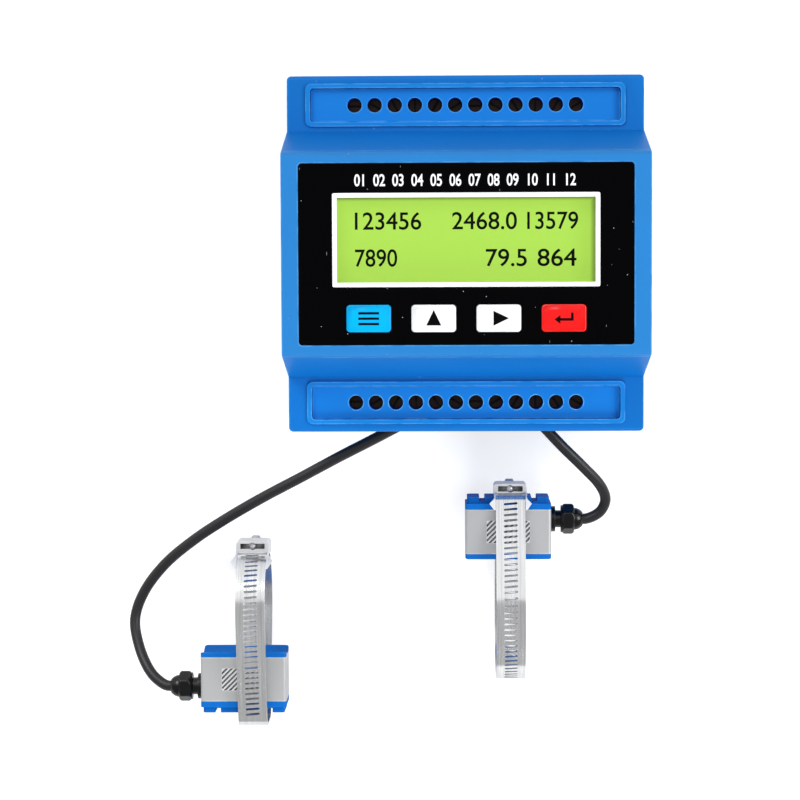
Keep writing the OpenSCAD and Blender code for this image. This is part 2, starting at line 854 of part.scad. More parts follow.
module sensor_case() {
    color("#aeb2b5")
        difference() {
            upright(base_top_y, cap_low_y) rounded(sensor_l, sensor_t, sensor_r);
            upright(base_top_y - over, cap_low_y + over) square([case_in_w, case_in_t], center = true);
            gland_bar(flange_x - 2 * sensor_wall, flange_x + over, thread_r + fit_gap);
            // Shallow pad on the front, crossed by slanting ribs
            translate([0, (base_top_y + cap_low_y) / 2, sensor_t / 2 - pad_deep])
                linear_extrude(height = pad_deep + over)
                    difference() {
                        rounded(pad_w, pad_h, sensor_r);
                        for (i = [-pad_rib_steps : pad_rib_steps])
                            rotate(45)
                                translate([0, i * pad_rib_pitch])
                                    square([pad_w + pad_h, pad_rib_w], center = true);
                    }
        }
}
pad_rib_steps = floor((pad_w + pad_h) / 2 * sin(45) / pad_rib_pitch);

module sensor_cap() {
    color(blue) {
        upright(cap_low_y, cap_low_y + cap_h) rounded(sensor_l, sensor_t, sensor_r);
        upright(cap_low_y - plug_h, cap_low_y) square([case_in_w - run_gap, case_in_t - run_gap], center = true);
        difference() {
            upright(cap_low_y + cap_h, sensor_h / 2)
                rounded(sensor_l - 2 * ridge_inset_x, sensor_t - 2 * ridge_inset_z, sensor_r);
            for (side = [-1, 1])
                translate([side * notch_x, sensor_h / 2, 0])
                    cube([notch_w, 2 * notch_deep, sensor_t], center = true);
        }
    }
}

// Face of the wedge that carries the sound crystal: its middle, and how far it stands above the strip
wedge_x = case_in_w / 2 - run_gap / 2;
wedge_mid_y = base_top_y + wedge_low_h + wedge_x * tan(wedge_deg);

// Coupling base: a strip with a saddle for the pipe, and a sloping wedge inside the case
module coupling_base() {
    half_t = case_in_t / 2 - run_gap / 2;
    color(blue)
        difference() {
            union() {
                upright(-sensor_h / 2, base_top_y) rounded(sensor_l, sensor_t, sensor_r);
                translate([0, 0, -half_t])
                    linear_extrude(height = 2 * half_t)
                        polygon([[-wedge_x, base_top_y - base_strip_h / 2], [wedge_x, base_top_y - base_strip_h / 2],
                                 [wedge_x, base_top_y + wedge_low_h],
                                 [-wedge_x, base_top_y + wedge_low_h + 2 * wedge_x * tan(wedge_deg)]]);
            }
            translate([0, -sensor_reach, 0]) rotate([0, 90, 0])
                cylinder(r = pipe_r + couplant_gap, h = sensor_l + 2 * over, center = true);
        }
}

// Disc that lies on the wedge, raised from it by some height
module on_wedge(height) {
    translate([0, wedge_mid_y, 0])
        rotate([0, 0, -wedge_deg])
            translate([0, height, 0]) rotate([-90, 0, 0]) children();
}

module piezo_disc() {
    color("#d9c27a") on_wedge(0) cylinder(r = piezo_r, h = piezo_t);
}

module damping_block() {
    color("#3a3a3e") on_wedge(piezo_t) cylinder(r = piezo_r, h = damping_t);
}

module gland_body() {
    color(plastic_black)
        difference() {
            union() {
                gland_bar(flange_x - sensor_wall, flange_x, thread_r);
                gland_bar(flange_x, neck_x, flange_r);
                gland_bar(neck_x, nut_x - fit_gap, neck_r);
                gland_bar(nut_x - 2 * fit_gap, thread_end_x, thread_r);
            }
            gland_bar(flange_x - sensor_wall - over, thread_end_x + over, cable_bore_r);
        }
}

module gland_seal() {
    color("#2c2c2e")
        difference() {
            gland_bar(thread_end_x, seal_end_x, thread_r);
            gland_bar(thread_end_x - over, seal_end_x + over, cable_bore_r);
        }
}

module gland_nut() {
    hex_r = nut_flats / 2 / cos(180 / hex_sides);
    color(plastic_black)
        difference() {
            union() {
                gland_bar(nut_x, nut_x + nut_rim_l, nut_flats / 2);
                gland_bar(nut_x + nut_rim_l, dome_x, hex_r, hex_sides);
                // Dome, a quarter round about the gland's axis
                translate([dome_x, gland_offset, 0])
                    rotate([0, 90, 0])
                        rotate_extrude()
                            intersection() {
                                square([dome_r, dome_l]);
                                circle(r = dome_r);
                            }
            }
            gland_bar(nut_x - over, seal_end_x + fit_gap, thread_r + fit_gap);
            gland_bar(nut_x - over, gland_end_x + over, cable_bore_r);
        }
}

module right_sensor_case() { right_side() sensor_case(); }
module right_sensor_cap() { right_side() sensor_cap(); }
module right_coupling_base() { right_side() coupling_base(); }
module right_piezo_disc() { right_side() piezo_disc(); }
module right_damping_block() { right_side() damping_block(); }
module right_gland_body() { right_side() gland_body(); }
module right_gland_seal() { right_side() gland_seal(); }
module right_gland_nut() { right_side() gland_nut(); }
module left_sensor_case() { left_side() sensor_case(); }
module left_sensor_cap() { left_side() sensor_cap(); }
module left_coupling_base() { left_side() coupling_base(); }
module left_piezo_disc() { left_side() piezo_disc(); }
module left_damping_block() { left_side() damping_block(); }
module left_gland_body() { left_side() gland_body(); }
module left_gland_seal() { left_side() gland_seal(); }
module left_gland_nut() { left_side() gland_nut(); }

// Clamps: each band is a belt round circles given as [Y, Z, radius]
band_gap = 0.05;
bend_r = 1.5;
bend_z = sensor_t / 2 - ridge_inset_z;
loose_r = 3;
loose_share = 0.14;
loose_z = sensor_t / 2 + loose_share * loose_r;
ridge_y = right_sensor_at[1] + sensor_h / 2 + band_gap;
tail_y = left_sensor_at[1] - sensor_h / 2 - left_slack;
right_loop = [
    [-pipe_drop - right_slack, clamp_z, pipe_r],
    [-pipe_drop, clamp_z, pipe_r],
    [ridge_y - bend_r, clamp_z - bend_z, bend_r],
    [ridge_y - bend_r, clamp_z + bend_z, bend_r],
    [-pipe_drop, clamp_z, pipe_r]
];
left_loop = [
    [-pipe_drop, clamp_z, pipe_r],
    [tail_y + loose_r, clamp_z + loose_z - loose_r, loose_r],
    [tail_y + loose_r, clamp_z - loose_z + loose_r, loose_r]
];
right_band_x = right_sensor_x + right_band_shift;
left_band_x = left_sensor_x + left_band_shift;
right_deck_y = ridge_y + band_t;
left_deck_y = pipe_r + band_t - pipe_drop;
box_side = 0.4;
box_gap = 0.1;
box_r = 0.9;
ear_reach = 5.5;
ear_up = 1.25;
ear_down = 3.9;
ear_mid = 2.25;
cheek_t = 0.5;
cheek_inset = 0.3;
mouth_w = 6.4;
mouth_h = 1.4;
mouth_deep = 3;
worm_gap = 0.06;
worm_y = worm_box_h / 2;
worm_collar_r = 1.2;
worm_neck_l = 2;
worm_head_r = 1.8;
worm_head_l = 2;
box_low_z = clamp_z - worm_box_l / 2;
box_high_z = clamp_z + worm_box_l / 2;

// Places of the slots along a belt round circles, as [Y, Z, angle of the outward direction]. An arc has an even
// number, so its middle is whole.
function slot_places(c) =
    let (n = len(c))
    [
        for (i = [0 : n - 1])
            let (a = c[i], b = c[(i + 1) % n],
                 from = tangent_dir(c[(i + n - 1) % n], a), to = tangent_dir(a, b),
                 start = atan2(from[1], from[0]), sweep = (atan2(to[1], to[0]) - start + 360) % 360,
                 pairs = a[2] < pipe_r ? 0 : round(a[2] * sweep * PI / 360 / slot_pitch),
                 turns = 2 * pairs,
                 leave = [a[0], a[1]] + a[2] * to, meet = [b[0], b[1]] + b[2] * to,
                 steps = floor(norm(meet - leave) / slot_pitch))
            each concat(
                [for (k = [0.5 : 1 : turns])
                    let (g = start + sweep * k / turns) [a[0] + a[2] * cos(g), a[1] + a[2] * sin(g), g]],
                [for (k = [0.5 : 1 : steps])
                    let (p = leave + (meet - leave) * k / steps) [p[0], p[1], atan2(to[1], to[0])]])
    ];

module band(x, loop) {
    end_x = (slot_l - slot_across) / 2;
    color(steel)
        translate([x, 0, 0])
            difference() {
                along_x(band_w)
                    difference() {
                        belt(loop, band_t);
                        belt(loop);
                    }
                // Slots for the worm, slanted as its thread is
                for (p = slot_places(loop))
                    translate([0, p[0], p[1]])
                        rotate([p[2] - 90, 0, 0])
                            rotate([0, 0, slot_slant])
                                linear_extrude(height = 4 * band_t, center = true)
                                    belt([[-end_x, 0, slot_across / 2], [end_x, 0, slot_across / 2]]);
            }
}

// Housing of the worm: an arch over the band, with a mouth at its front end and two pointed ears beside the band
module screw_box(x, loop, deck_y) {
    half_w = band_w / 2 + box_gap + box_side;
    mid_y = deck_y + worm_box_h / 2 - ear_down / 4;
    color(steel)
        translate([x, 0, 0])
            difference() {
                union() {
                    translate([0, mid_y, box_low_z])
                        linear_extrude(height = worm_box_l)
                            rounded(2 * half_w, worm_box_h + ear_down / 2, box_r);
                    intersection() {
                        along_x(2 * ear_reach) belt(loop, band_t + cheek_t);
                        translate([0, deck_y - ear_mid, clamp_z])
                            linear_extrude(height = pipe_r)
                                polygon([[-ear_reach, 0], [-half_w, ear_mid - ear_down], [half_w, ear_mid - ear_down],
                                         [ear_reach, 0], [half_w, ear_up], [half_w, ear_mid + cheek_t],
                                         [-half_w, ear_mid + cheek_t], [-half_w, ear_up]]);
                    }
                }
                // Room for the band under the arch and between the ears
                along_x(band_w + 2 * box_gap) belt(loop, band_t + box_gap);
                box([-band_w / 2 - box_gap, deck_y - 2 * ear_down, box_high_z],
                    [band_w / 2 + box_gap, deck_y + 2 * worm_box_h, clamp_z + 2 * pipe_r]);
                along_x(3 * band_w) belt(loop, cheek_inset);
                // Bore of the worm, and the mouth
                translate([0, deck_y + worm_y, box_low_z - over])
                    cylinder(r = worm_d / 2 + worm_gap, h = worm_box_l + 2 * over);
                translate([0, deck_y + worm_y, box_high_z])
                    cube([mouth_w, mouth_h, 2 * mouth_deep], center = true);
            }
}

module worm_screw(x, deck_y) {
    color(steel)
        translate([x, deck_y + worm_y, box_low_z]) {
            difference() {
                union() {
                    translate([0, 0, -worm_neck_l])
                        cylinder(d = worm_d, h = worm_neck_l + worm_box_l - mouth_deep / 2);
                    translate([0, 0, -worm_gap - cheek_t]) cylinder(r = worm_collar_r, h = cheek_t);
                    translate([0, 0, -worm_neck_l - worm_head_l])
                        cylinder(r = worm_head_r, h = worm_head_l, $fn = hex_sides);
                }
                translate([0, 0, -worm_neck_l - worm_head_l])
                    cube([2 * worm_head_r + over, slot_w, 2 * slot_deep], center = true);
            }
        }
}

module right_band() { band(right_band_x, right_loop); }
module left_band() { band(left_band_x, left_loop); }
module right_screw_box() { screw_box(right_band_x, right_loop, right_deck_y); }
module left_screw_box() { screw_box(left_band_x, left_loop, left_deck_y); }
module right_worm_screw() { worm_screw(right_band_x, right_deck_y); }
module left_worm_screw() { worm_screw(left_band_x, left_deck_y); }

// Cables: points of each route, from the terminal bay to inside the gland
left_route = [
    [-15.5, -43.3, 24.4], [-24, -47.8, 23.4], [-33, -52.5, 21.5], [-43, -58, 18.8], [-53, -63.4, 16],
    [-63, -69.3, 13], [-72, -75.3, 10.4], [-80, -82, 8], [-85.8, -89.5, 6.8], [-88.4, -97, 6.8],
    [-87, -104.3, 9], [-83.8, -110.2, 12.2], [-80, -113.3, 13.9], [-77, -113.7, 14.2], [-71.5, -113.7, 14.2]
];
right_route = [
    [19.4, -43.8, 24.4], [25, -49.8, 23], [30.5, -55.3, 20.8], [34.8, -60, 18.4], [36.5, -64, 16.2],
    [35.3, -67.4, 14.9], [32.2, -69.3, 14.3], [29, -69.5, 14.2], [24.2, -69.5, 14.2]
];
left_steps = 2;
right_steps = 3;
cable_sides = 8;

// Point on a smooth curve through a route, at a share of the way from point i to the next
function along(route, i, t) =
    let (n = len(route) - 1,
         a = route[max(i - 1, 0)], b = route[i], c = route[min(i + 1, n)], d = route[min(i + 2, n)])
    ((2 * b) + (c - a) * t + (2 * a - 5 * b + 4 * c - d) * pow(t, 2) + (3 * b - a - 3 * c + d) * pow(t, 3)) / 2;

// All the points of the smooth curve
function smooth(route, steps) = [
    for (i = [0 : len(route) - 2], k = [0 : steps - 1]) along(route, i, k / steps),
    route[len(route) - 1]
];

// Direction of a line of points at one of them, and a ring of points square to it
function heading(p, i) = let (d = p[min(i + 1, len(p) - 1)] - p[max(i - 1, 0)]) d / norm(d);
function ring(p, i, r) =
    let (h = heading(p, i), side = cross(h, [0, 0, 1]) / norm(cross(h, [0, 0, 1])), up = cross(side, h))
    [for (k = [0 : cable_sides - 1])
        p[i] + r * (cos(360 * (k + 0.5) / cable_sides) * side + sin(360 * (k + 0.5) / cable_sides) * up)];

// Round tube along a line of points
module tube(p, r) {
    n = cable_sides;
    last = len(p) - 1;
    points = [for (i = [0 : last]) each ring(p, i, r)];
    sides = [
        for (i = [0 : last - 1], k = [0 : n - 1])
            let (a = i * n + k, b = i * n + (k + 1) % n)
            each [[a, b, b + n], [a, b + n, a + n]]
    ];
    ends = [[for (k = [n - 1 : -1 : 0]) k], [for (k = [0 : n - 1]) last * n + k]];
    polyhedron(points, concat(sides, ends));
}

module left_cable() { color("#1b1b1d") tube(smooth(left_route, left_steps), cable_d / 2); }
module right_cable() { color("#1b1b1d") tube(smooth(right_route, right_steps), cable_d / 2); }

// Two cores that leave a cable's end and enter two terminals of the lower row
core_z = seat_z + fit_gap / 2 - terminal_shank_l - core_d / 2 - fit_gap;
core_in_y = -row_y;
core_bend_y = -sill_y - core_d;
core_spread_share = 0.65;
module cores(route, ways) {
    back = (route[0] - route[1]) / norm(route[0] - route[1]);
    aside = cross(back, [0, 0, 1]) * core_d * core_spread_share;
    for (k = [0, 1]) {
        from = route[0] + back * core_d / 2 + (2 * k - 1) * aside;
        x = way_places[ways[k]];
        turn = [x, core_bend_y + core_d, core_z];
        color(k == 0 ? "#c23a2e" : "#e8e4da")
            tube(smooth([from, from + back * core_d, turn, [x, core_in_y, core_z]], core_steps), core_d / 2);
    }
}
core_steps = 2;
left_ways = [3, 4];
right_ways = [8, 9];
module left_cores() { cores(left_route, left_ways); }
module right_cores() { cores(right_route, right_ways); }

rear_base();
terminal_shell();
front_bezel();
rail_latch();
front_overlay();
display_border();
display_window();
menu_key();
up_key();
right_key();
enter_key();
lcd_glass();
lcd_backlight();
lcd_bezel();
lcd_board();
display_board();
display_screws();
key_switches();
main_board();
board_screws();
board_headers();
ribbon_cable();
chips();
filter_capacitors();
backup_battery();
output_relay();
upper_terminal_block();
lower_terminal_block();
upper_terminal_screws();
lower_terminal_screws();
upper_wire_clamps();
lower_wire_clamps();
right_sensor_case();
right_sensor_cap();
right_coupling_base();
right_piezo_disc();
right_damping_block();
right_gland_body();
right_gland_seal();
right_gland_nut();
left_sensor_case();
left_sensor_cap();
left_coupling_base();
left_piezo_disc();
left_damping_block();
left_gland_body();
left_gland_seal();
left_gland_nut();
right_band();
right_screw_box();
right_worm_screw();
left_band();
left_screw_box();
left_worm_screw();
left_cable();
right_cable();
left_cores();
right_cores();
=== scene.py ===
# %% [markdown]
# # Looks for a rail-mounted flow meter with two clamp-on sensors
# The solid model gives every piece its size and place. This script gives each piece its finish, rounds its
# edges and adds what is too fine for the solid model: threads, domes, symbols and figures. Lengths are
# metres, and most are written in millimetres times MM. The meter lies on its back with its face up.

# %% Load the solid model
import math

import bmesh
import bpy
import numpy as np
from mathutils import Euler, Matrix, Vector


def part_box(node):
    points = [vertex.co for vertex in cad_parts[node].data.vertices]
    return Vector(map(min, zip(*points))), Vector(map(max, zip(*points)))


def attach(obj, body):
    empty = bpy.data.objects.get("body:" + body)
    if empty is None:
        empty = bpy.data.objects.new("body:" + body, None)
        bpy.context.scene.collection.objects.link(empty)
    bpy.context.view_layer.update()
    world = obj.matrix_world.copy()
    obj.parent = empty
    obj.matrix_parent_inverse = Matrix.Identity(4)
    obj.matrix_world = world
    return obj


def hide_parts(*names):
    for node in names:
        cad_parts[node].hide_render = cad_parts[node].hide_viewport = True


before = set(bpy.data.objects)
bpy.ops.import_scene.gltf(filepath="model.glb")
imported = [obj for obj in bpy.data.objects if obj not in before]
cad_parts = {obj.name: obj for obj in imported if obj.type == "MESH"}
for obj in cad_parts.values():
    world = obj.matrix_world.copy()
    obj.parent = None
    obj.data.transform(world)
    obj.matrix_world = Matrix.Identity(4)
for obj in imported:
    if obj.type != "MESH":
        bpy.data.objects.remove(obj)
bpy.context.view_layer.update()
scene = bpy.context.scene
MM = 0.001
print("solid nodes:", len(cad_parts))

# %% [markdown]
# ## Camera
# A photograph taken close up shows the sides of a deep object, and one taken from far away does not. Here
# the camera stands 654 mm above the bench, a little off centre, with a 110 mm lens on a square 36 mm
# sensor. These numbers were fitted to the corners of the housing, so the render and the photograph lie over
# each other.

# %% Camera over the bench
LENS_MM, SENSOR_MM = 110, 36
CAMERA_AT = (-3.5 * MM, -0.6 * MM, 654.2 * MM)
CAMERA_TURN_DEG = (-3.36, 1.21, -0.24)
camera = bpy.data.objects.new("camera", bpy.data.cameras.new("camera"))
camera.data.lens = LENS_MM
camera.data.sensor_width = SENSOR_MM
camera.data.clip_start = 10 * MM
camera.location = CAMERA_AT
camera.rotation_euler = Euler([math.radians(a) for a in CAMERA_TURN_DEG])
scene.collection.objects.link(camera)
scene.camera = camera
scene.view_settings.view_transform = "Standard"

# %% [markdown]
# ## Small helpers for shader nodes
# A finish is a network of nodes. These helpers make what comes back again and again: an empty material, an
# empty node group with named inputs and outputs, sums and products, a smooth step between two limits,
# coordinates, noise, dots, and a measure of how open a place is.


# %% Empty materials and node groups
def new_finish(name):
    """Empty material, its node tree and its Principled shader."""
    material = bpy.data.materials.new(name)
    material.use_nodes = True
    return material, material.node_tree, material.node_tree.nodes["Principled BSDF"]


def new_group(name, inputs, outputs):
    """Empty shader group for numbers. `inputs` maps a name to its default, `outputs` lists names."""
    group = bpy.data.node_groups.new(name, "ShaderNodeTree")
    for label, default in inputs.items():
        socket = group.interface.new_socket(label, in_out="INPUT", socket_type="NodeSocketFloat")
        socket.default_value = default
    for label in outputs:
        group.interface.new_socket(label, in_out="OUTPUT", socket_type="NodeSocketFloat")
    return group, group.nodes.new("NodeGroupInput").outputs, group.nodes.new("NodeGroupOutput").inputs


def add_group(tree, group, **values):
    """Outputs of a shader group's node whose inputs are set to the values."""
    node = tree.nodes.new("ShaderNodeGroup")
    node.node_tree = group
    for label, value in values.items():
        node.inputs[label].default_value = value
    return node.outputs


# %% Sums, products and steps
def feed(tree, socket, value):
    """Set a socket to a number or a tuple, or link another socket to it."""
    if isinstance(value, (int, float, tuple)):
        socket.default_value = value
    else:
        tree.links.new(value, socket)


def math_node(tree, operation, *operands):
    """Output of a Math node whose operands are numbers or sockets."""
    node = tree.nodes.new("ShaderNodeMath")
    node.operation = operation
    for socket, value in zip(node.inputs, operands):
        feed(tree, socket, value)
    return node.outputs[0]


def product(tree, *factors):
    """All factors multiplied, each a number or a socket."""
    total = factors[0]
    for factor in factors[1:]:
        total = math_node(tree, "MULTIPLY", total, factor)
    return total


def ramp(tree, value, low, high):
    """Map Range node: 0 where value is `low`, 1 where it is `high`, with a smooth step between."""
    node = tree.nodes.new("ShaderNodeMapRange")
    node.interpolation_type = "SMOOTHSTEP"
    node.inputs["From Min"].default_value = low
    node.inputs["From Max"].default_value = high
    tree.links.new(value, node.inputs["Value"])
    return node.outputs["Result"]


# %% Coordinates
def object_point(tree):
    """Object coordinates, in metres."""
    return tree.nodes.new("ShaderNodeTexCoord").outputs["Object"]


def axes(tree, point):
    """The parts of a point, as sockets named X, Y and Z."""
    node = tree.nodes.new("ShaderNodeSeparateXYZ")
    tree.links.new(point, node.inputs[0])
    return node.outputs


def stretched(tree, scale, turn_deg=0.0):
    """Object coordinates scaled along each axis, then turned about Z."""
    node = tree.nodes.new("ShaderNodeMapping")
    node.inputs["Rotation"].default_value = (0, 0, math.radians(turn_deg))
    node.inputs["Scale"].default_value = scale
    tree.links.new(object_point(tree), node.inputs["Vector"])
    return node.outputs["Vector"]


# %% Noise, dots and open places
NOISE_ROUGHNESS = 0.55


def noise(tree, point, scale, detail=3.0):
    """Noise texture value between 0 and 1."""
    node = tree.nodes.new("ShaderNodeTexNoise")
    node.inputs["Scale"].default_value = scale
    node.inputs["Detail"].default_value = detail
    node.inputs["Roughness"].default_value = NOISE_ROUGHNESS
    tree.links.new(point, node.inputs["Vector"])
    return node.outputs["Fac"]


def dots(tree, point, scale, size, share):
    """1 near the middle of some cells of a Voronoi texture: those whose random number is below `share`."""
    cells = tree.nodes.new("ShaderNodeTexVoronoi")
    feed(tree, cells.inputs["Scale"], scale)
    tree.links.new(point, cells.inputs["Vector"])
    drawn = tree.nodes.new("ShaderNodeTexWhiteNoise")
    tree.links.new(cells.outputs["Position"], drawn.inputs["Vector"])
    is_chosen = math_node(tree, "LESS_THAN", drawn.outputs["Value"], share)
    is_close = math_node(tree, "LESS_THAN", cells.outputs["Distance"], size)
    return product(tree, is_chosen, is_close)


def openness(tree, reach, samples):
    """Share of the sky, from 0 to 1, that a place sees past its own object within `reach`."""
    node = tree.nodes.new("ShaderNodeAmbientOcclusion")
    node.samples = samples
    node.only_local = True
    feed(tree, node.inputs["Distance"], reach)
    return node.outputs["AO"]


# %% [markdown]
# ## Light
# The object lies on white paper under soft light. The world lights it evenly from all sides. In reflections
# alone it is bright on the side of the picture's upper edge and dim on the other, like a softbox with an
# edge, so a steel band is white where it leans upwards and turns grey where it leans down. Three soft lamps
# give the edges their highlights. The lowest one is left out of reflections, or it would burn spots into
# the steel. The paper is white to the camera and to reflections, and it still takes the object's shadow,
# because only part of its brightness comes from the Light Path trick. Steel mirrors it a little greyer, so
# its edges stand out from it.

# %% World
DIM, BRIGHT, EVEN = 0.36, 1.00, 0.58
SKY_EDGE = (0.16, 0.25)
world = bpy.data.worlds.new("studio")
world.use_nodes = True
tree = world.node_tree
background = tree.nodes["Background"]
heading = axes(tree, tree.nodes.new("ShaderNodeTexCoord").outputs["Generated"])
upward = ramp(tree, heading["Y"], *SKY_EDGE)
mirrored = math_node(tree, "MULTIPLY_ADD", upward, BRIGHT - DIM, DIM - EVEN)
in_gloss = tree.nodes.new("ShaderNodeLightPath").outputs["Is Glossy Ray"]
strength = math_node(tree, "MULTIPLY_ADD", in_gloss, mirrored, EVEN)
background.inputs["Color"].default_value = (1.0, 1.0, 1.0, 1.0)
tree.links.new(strength, background.inputs["Strength"])
scene.world = world

# %% Lamps
LAMPS_AIM = Vector((-0.01, -0.03, 0.0))


def lamp(name, place, size, power):
    """Square lamp of side `size` at `place`, turned towards the middle of the object."""
    light = bpy.data.objects.new(name, bpy.data.lights.new(name, "AREA"))
    light.data.size = size
    light.data.energy = power
    light.location = place
    light.rotation_euler = (LAMPS_AIM - Vector(place)).to_track_quat("-Z", "Y").to_euler()
    scene.collection.objects.link(light)
    return light


lamp("upper_left_lamp", (-0.45, 0.55, 0.60), 0.45, 3.7)
lamp("right_lamp", (0.65, 0.05, 0.50), 0.35, 3.4)
lamp("lower_lamp", (0.05, -0.75, 0.45), 0.40, 4.6).visible_glossy = False

# %% Paper under the object
PAPER_HALF, PAPER_Z = 2.0, -0.02 * MM
PAPER_TONE, GLOW_SEEN, GLOW_MIRRORED = 0.56, 0.60, 0.22
paper = bpy.data.objects.new("paper", bpy.data.meshes.new("paper"))
corners = [(x * PAPER_HALF, y * PAPER_HALF, PAPER_Z) for x, y in ((-1, -1), (1, -1), (1, 1), (-1, 1))]
paper.data.from_pydata(corners, [], [(0, 1, 2, 3)])
scene.collection.objects.link(paper)

white_paper, tree, shader = new_finish("white_paper")
shader.inputs["Base Color"].default_value = (PAPER_TONE, PAPER_TONE, PAPER_TONE, 1)
shader.inputs["Roughness"].default_value = 0.9
light_path = tree.nodes.new("ShaderNodeLightPath").outputs
seen = product(tree, light_path["Is Camera Ray"], GLOW_SEEN)
mirrored = product(tree, light_path["Is Glossy Ray"], GLOW_MIRRORED)
tree.links.new(math_node(tree, "ADD", seen, mirrored), shader.inputs["Emission Strength"])
shader.inputs["Emission Color"].default_value = (1, 1, 1, 1)
paper.data.materials.append(white_paper)

# %% [markdown]
# ## Surface effects shared by the finishes
# Real plastic and steel are never one flat colour, and some light and shade is painted into the colour as
# well. Eight effects are used again and again, so each is a node group with its own inputs and outputs.
# `mottle` makes the colour and gloss wander slightly. The edge group finds sharp edges by comparing the true
# normal with one rounded by the Bevel node, and leaves out hollows; the finishes paint these edges paler,
# part wear and part painted highlight. `specks` scatters dust, and `scratches` draws short nicks, which are
# the same dots on stretched coordinates. The hollow group finds corners and narrow slots by how much of the
# sky they see, for painted shade. The low-parts group finds the low ledges and slopes, which get painted
# shade, and the raised rims on them, which get a painted highlight. `pads` finds the pale ribs on the
# sensors, and `hole_rims` the worn rims of the screw holes. All of them read Object coordinates, so a
# pattern stays where it is when a piece moves.

# %% Mottle: slow changes of tone
BROAD_SCALE, FINE_SCALE, FINE_SHARE = 45, 900, 0.25
mottle, source, result = new_group("mottle", {"Amount": 0.1}, ["Tone"])
broad = product(mottle, noise(mottle, object_point(mottle), BROAD_SCALE), 1 - FINE_SHARE)
fine = product(mottle, noise(mottle, object_point(mottle), FINE_SCALE, 2), FINE_SHARE)
centred = math_node(mottle, "SUBTRACT", math_node(mottle, "ADD", broad, fine), 0.5)
mottle.links.new(math_node(mottle, "MULTIPLY_ADD", centred, source["Amount"], 1.0), result["Tone"])

# %% Worn edges and painted highlight: where a rounded normal leaves the true one
EDGE_REACH, HOLLOW_REACH = 0.55 * MM, 1.2 * MM
NORMALS_AGREE, EDGE_PATCHES, OUT_OF_HOLLOW = (0.996, 0.92), (0.3, 0.62), (0.78, 0.94)
edge_wear_and_highlight, source, result = new_group("edge_wear_and_highlight", {"Amount": 0.5}, ["Mask"])
rounder = edge_wear_and_highlight.nodes.new("ShaderNodeBevel")
rounder.samples = 4
rounder.inputs["Radius"].default_value = EDGE_REACH
true_normal = edge_wear_and_highlight.nodes.new("ShaderNodeNewGeometry").outputs["Normal"]
agree = edge_wear_and_highlight.nodes.new("ShaderNodeVectorMath")
agree.operation = "DOT_PRODUCT"
edge_wear_and_highlight.links.new(rounder.outputs["Normal"], agree.inputs[0])
edge_wear_and_highlight.links.new(true_normal, agree.inputs[1])
edge = ramp(edge_wear_and_highlight, agree.outputs["Value"], *NORMALS_AGREE)
outside = ramp(edge_wear_and_highlight, openness(edge_wear_and_highlight, HOLLOW_REACH, 4), *OUT_OF_HOLLOW)
patchy = ramp(edge_wear_and_highlight, noise(edge_wear_and_highlight, object_point(edge_wear_and_highlight), 260, 4), *EDGE_PATCHES)
edge_wear_and_highlight.links.new(product(edge_wear_and_highlight, edge, outside, patchy, source["Amount"]), result["Mask"])

# %% Specks: scattered dust
specks, source, result = new_group("specks", {"Scale": 400.0, "Size": 0.045, "Share": 0.25}, ["Mask"])
dust_dots = dots(specks, object_point(specks), source["Scale"], source["Size"], source["Share"])
specks.links.new(dust_dots, result["Mask"])

# %% Scratches: dots on coordinates stretched along two directions
NICK_LAYERS = ((28, 560.0, 9), (-55, 640.0, 6))
scratches, source, result = new_group("scratches", {"Width": 0.032, "Share": 0.4}, ["Mask"])
layers = []
for turn_deg, across, longer in NICK_LAYERS:
    point = stretched(scratches, (across, across / longer, across), turn_deg)
    layers.append(dots(scratches, point, 1.0, source["Width"], source["Share"]))
scratches.links.new(math_node(scratches, "MAXIMUM", *layers), result["Mask"])

# %% Painted shade: a mask of corners and slots that see little of the sky
SHUT_IN, SHADE_PATCHES = (0.85, 0.30), (0.1, 0.6)
hollow_shade, source, result = new_group("hollow_shade", {"Reach": 1.0, "Amount": 0.5}, ["Mask"])
hidden = ramp(hollow_shade, openness(hollow_shade, product(hollow_shade, source["Reach"], MM), 6), *SHUT_IN)
uneven = ramp(hollow_shade, noise(hollow_shade, object_point(hollow_shade), 340), *SHADE_PATCHES)
hollow_shade.links.new(product(hollow_shade, hidden, uneven, source["Amount"]), result["Mask"])

# %% Low parts: ledges and slopes for painted shade, raised rims round the screw rows for a painted highlight
LEDGE_END_Y, LEDGE_Z, FACE_Z, SLOPE_FADE = 31.4, 35.0, 59.6, 3.6
ledge_shade_and_rim_highlight, _, result = new_group("ledge_shade_and_rim_highlight", {}, ["Mask", "Rim"])
place = axes(ledge_shade_and_rim_highlight, object_point(ledge_shade_and_rim_highlight))
below_face = ramp(ledge_shade_and_rim_highlight, place["Z"], FACE_Z * MM, (FACE_Z - SLOPE_FADE) * MM)
from_middle = math_node(ledge_shade_and_rim_highlight, "ABSOLUTE", place["Y"])
on_ledge = ramp(ledge_shade_and_rim_highlight, from_middle, (LEDGE_END_Y - 0.2) * MM, LEDGE_END_Y * MM)
raised = ramp(ledge_shade_and_rim_highlight, place["Z"], (LEDGE_Z + 0.15) * MM, (LEDGE_Z + 0.4) * MM)
ledge_shade_and_rim_highlight.links.new(below_face, result["Mask"])
ledge_shade_and_rim_highlight.links.new(product(ledge_shade_and_rim_highlight, on_ledge, raised, below_face), result["Rim"])

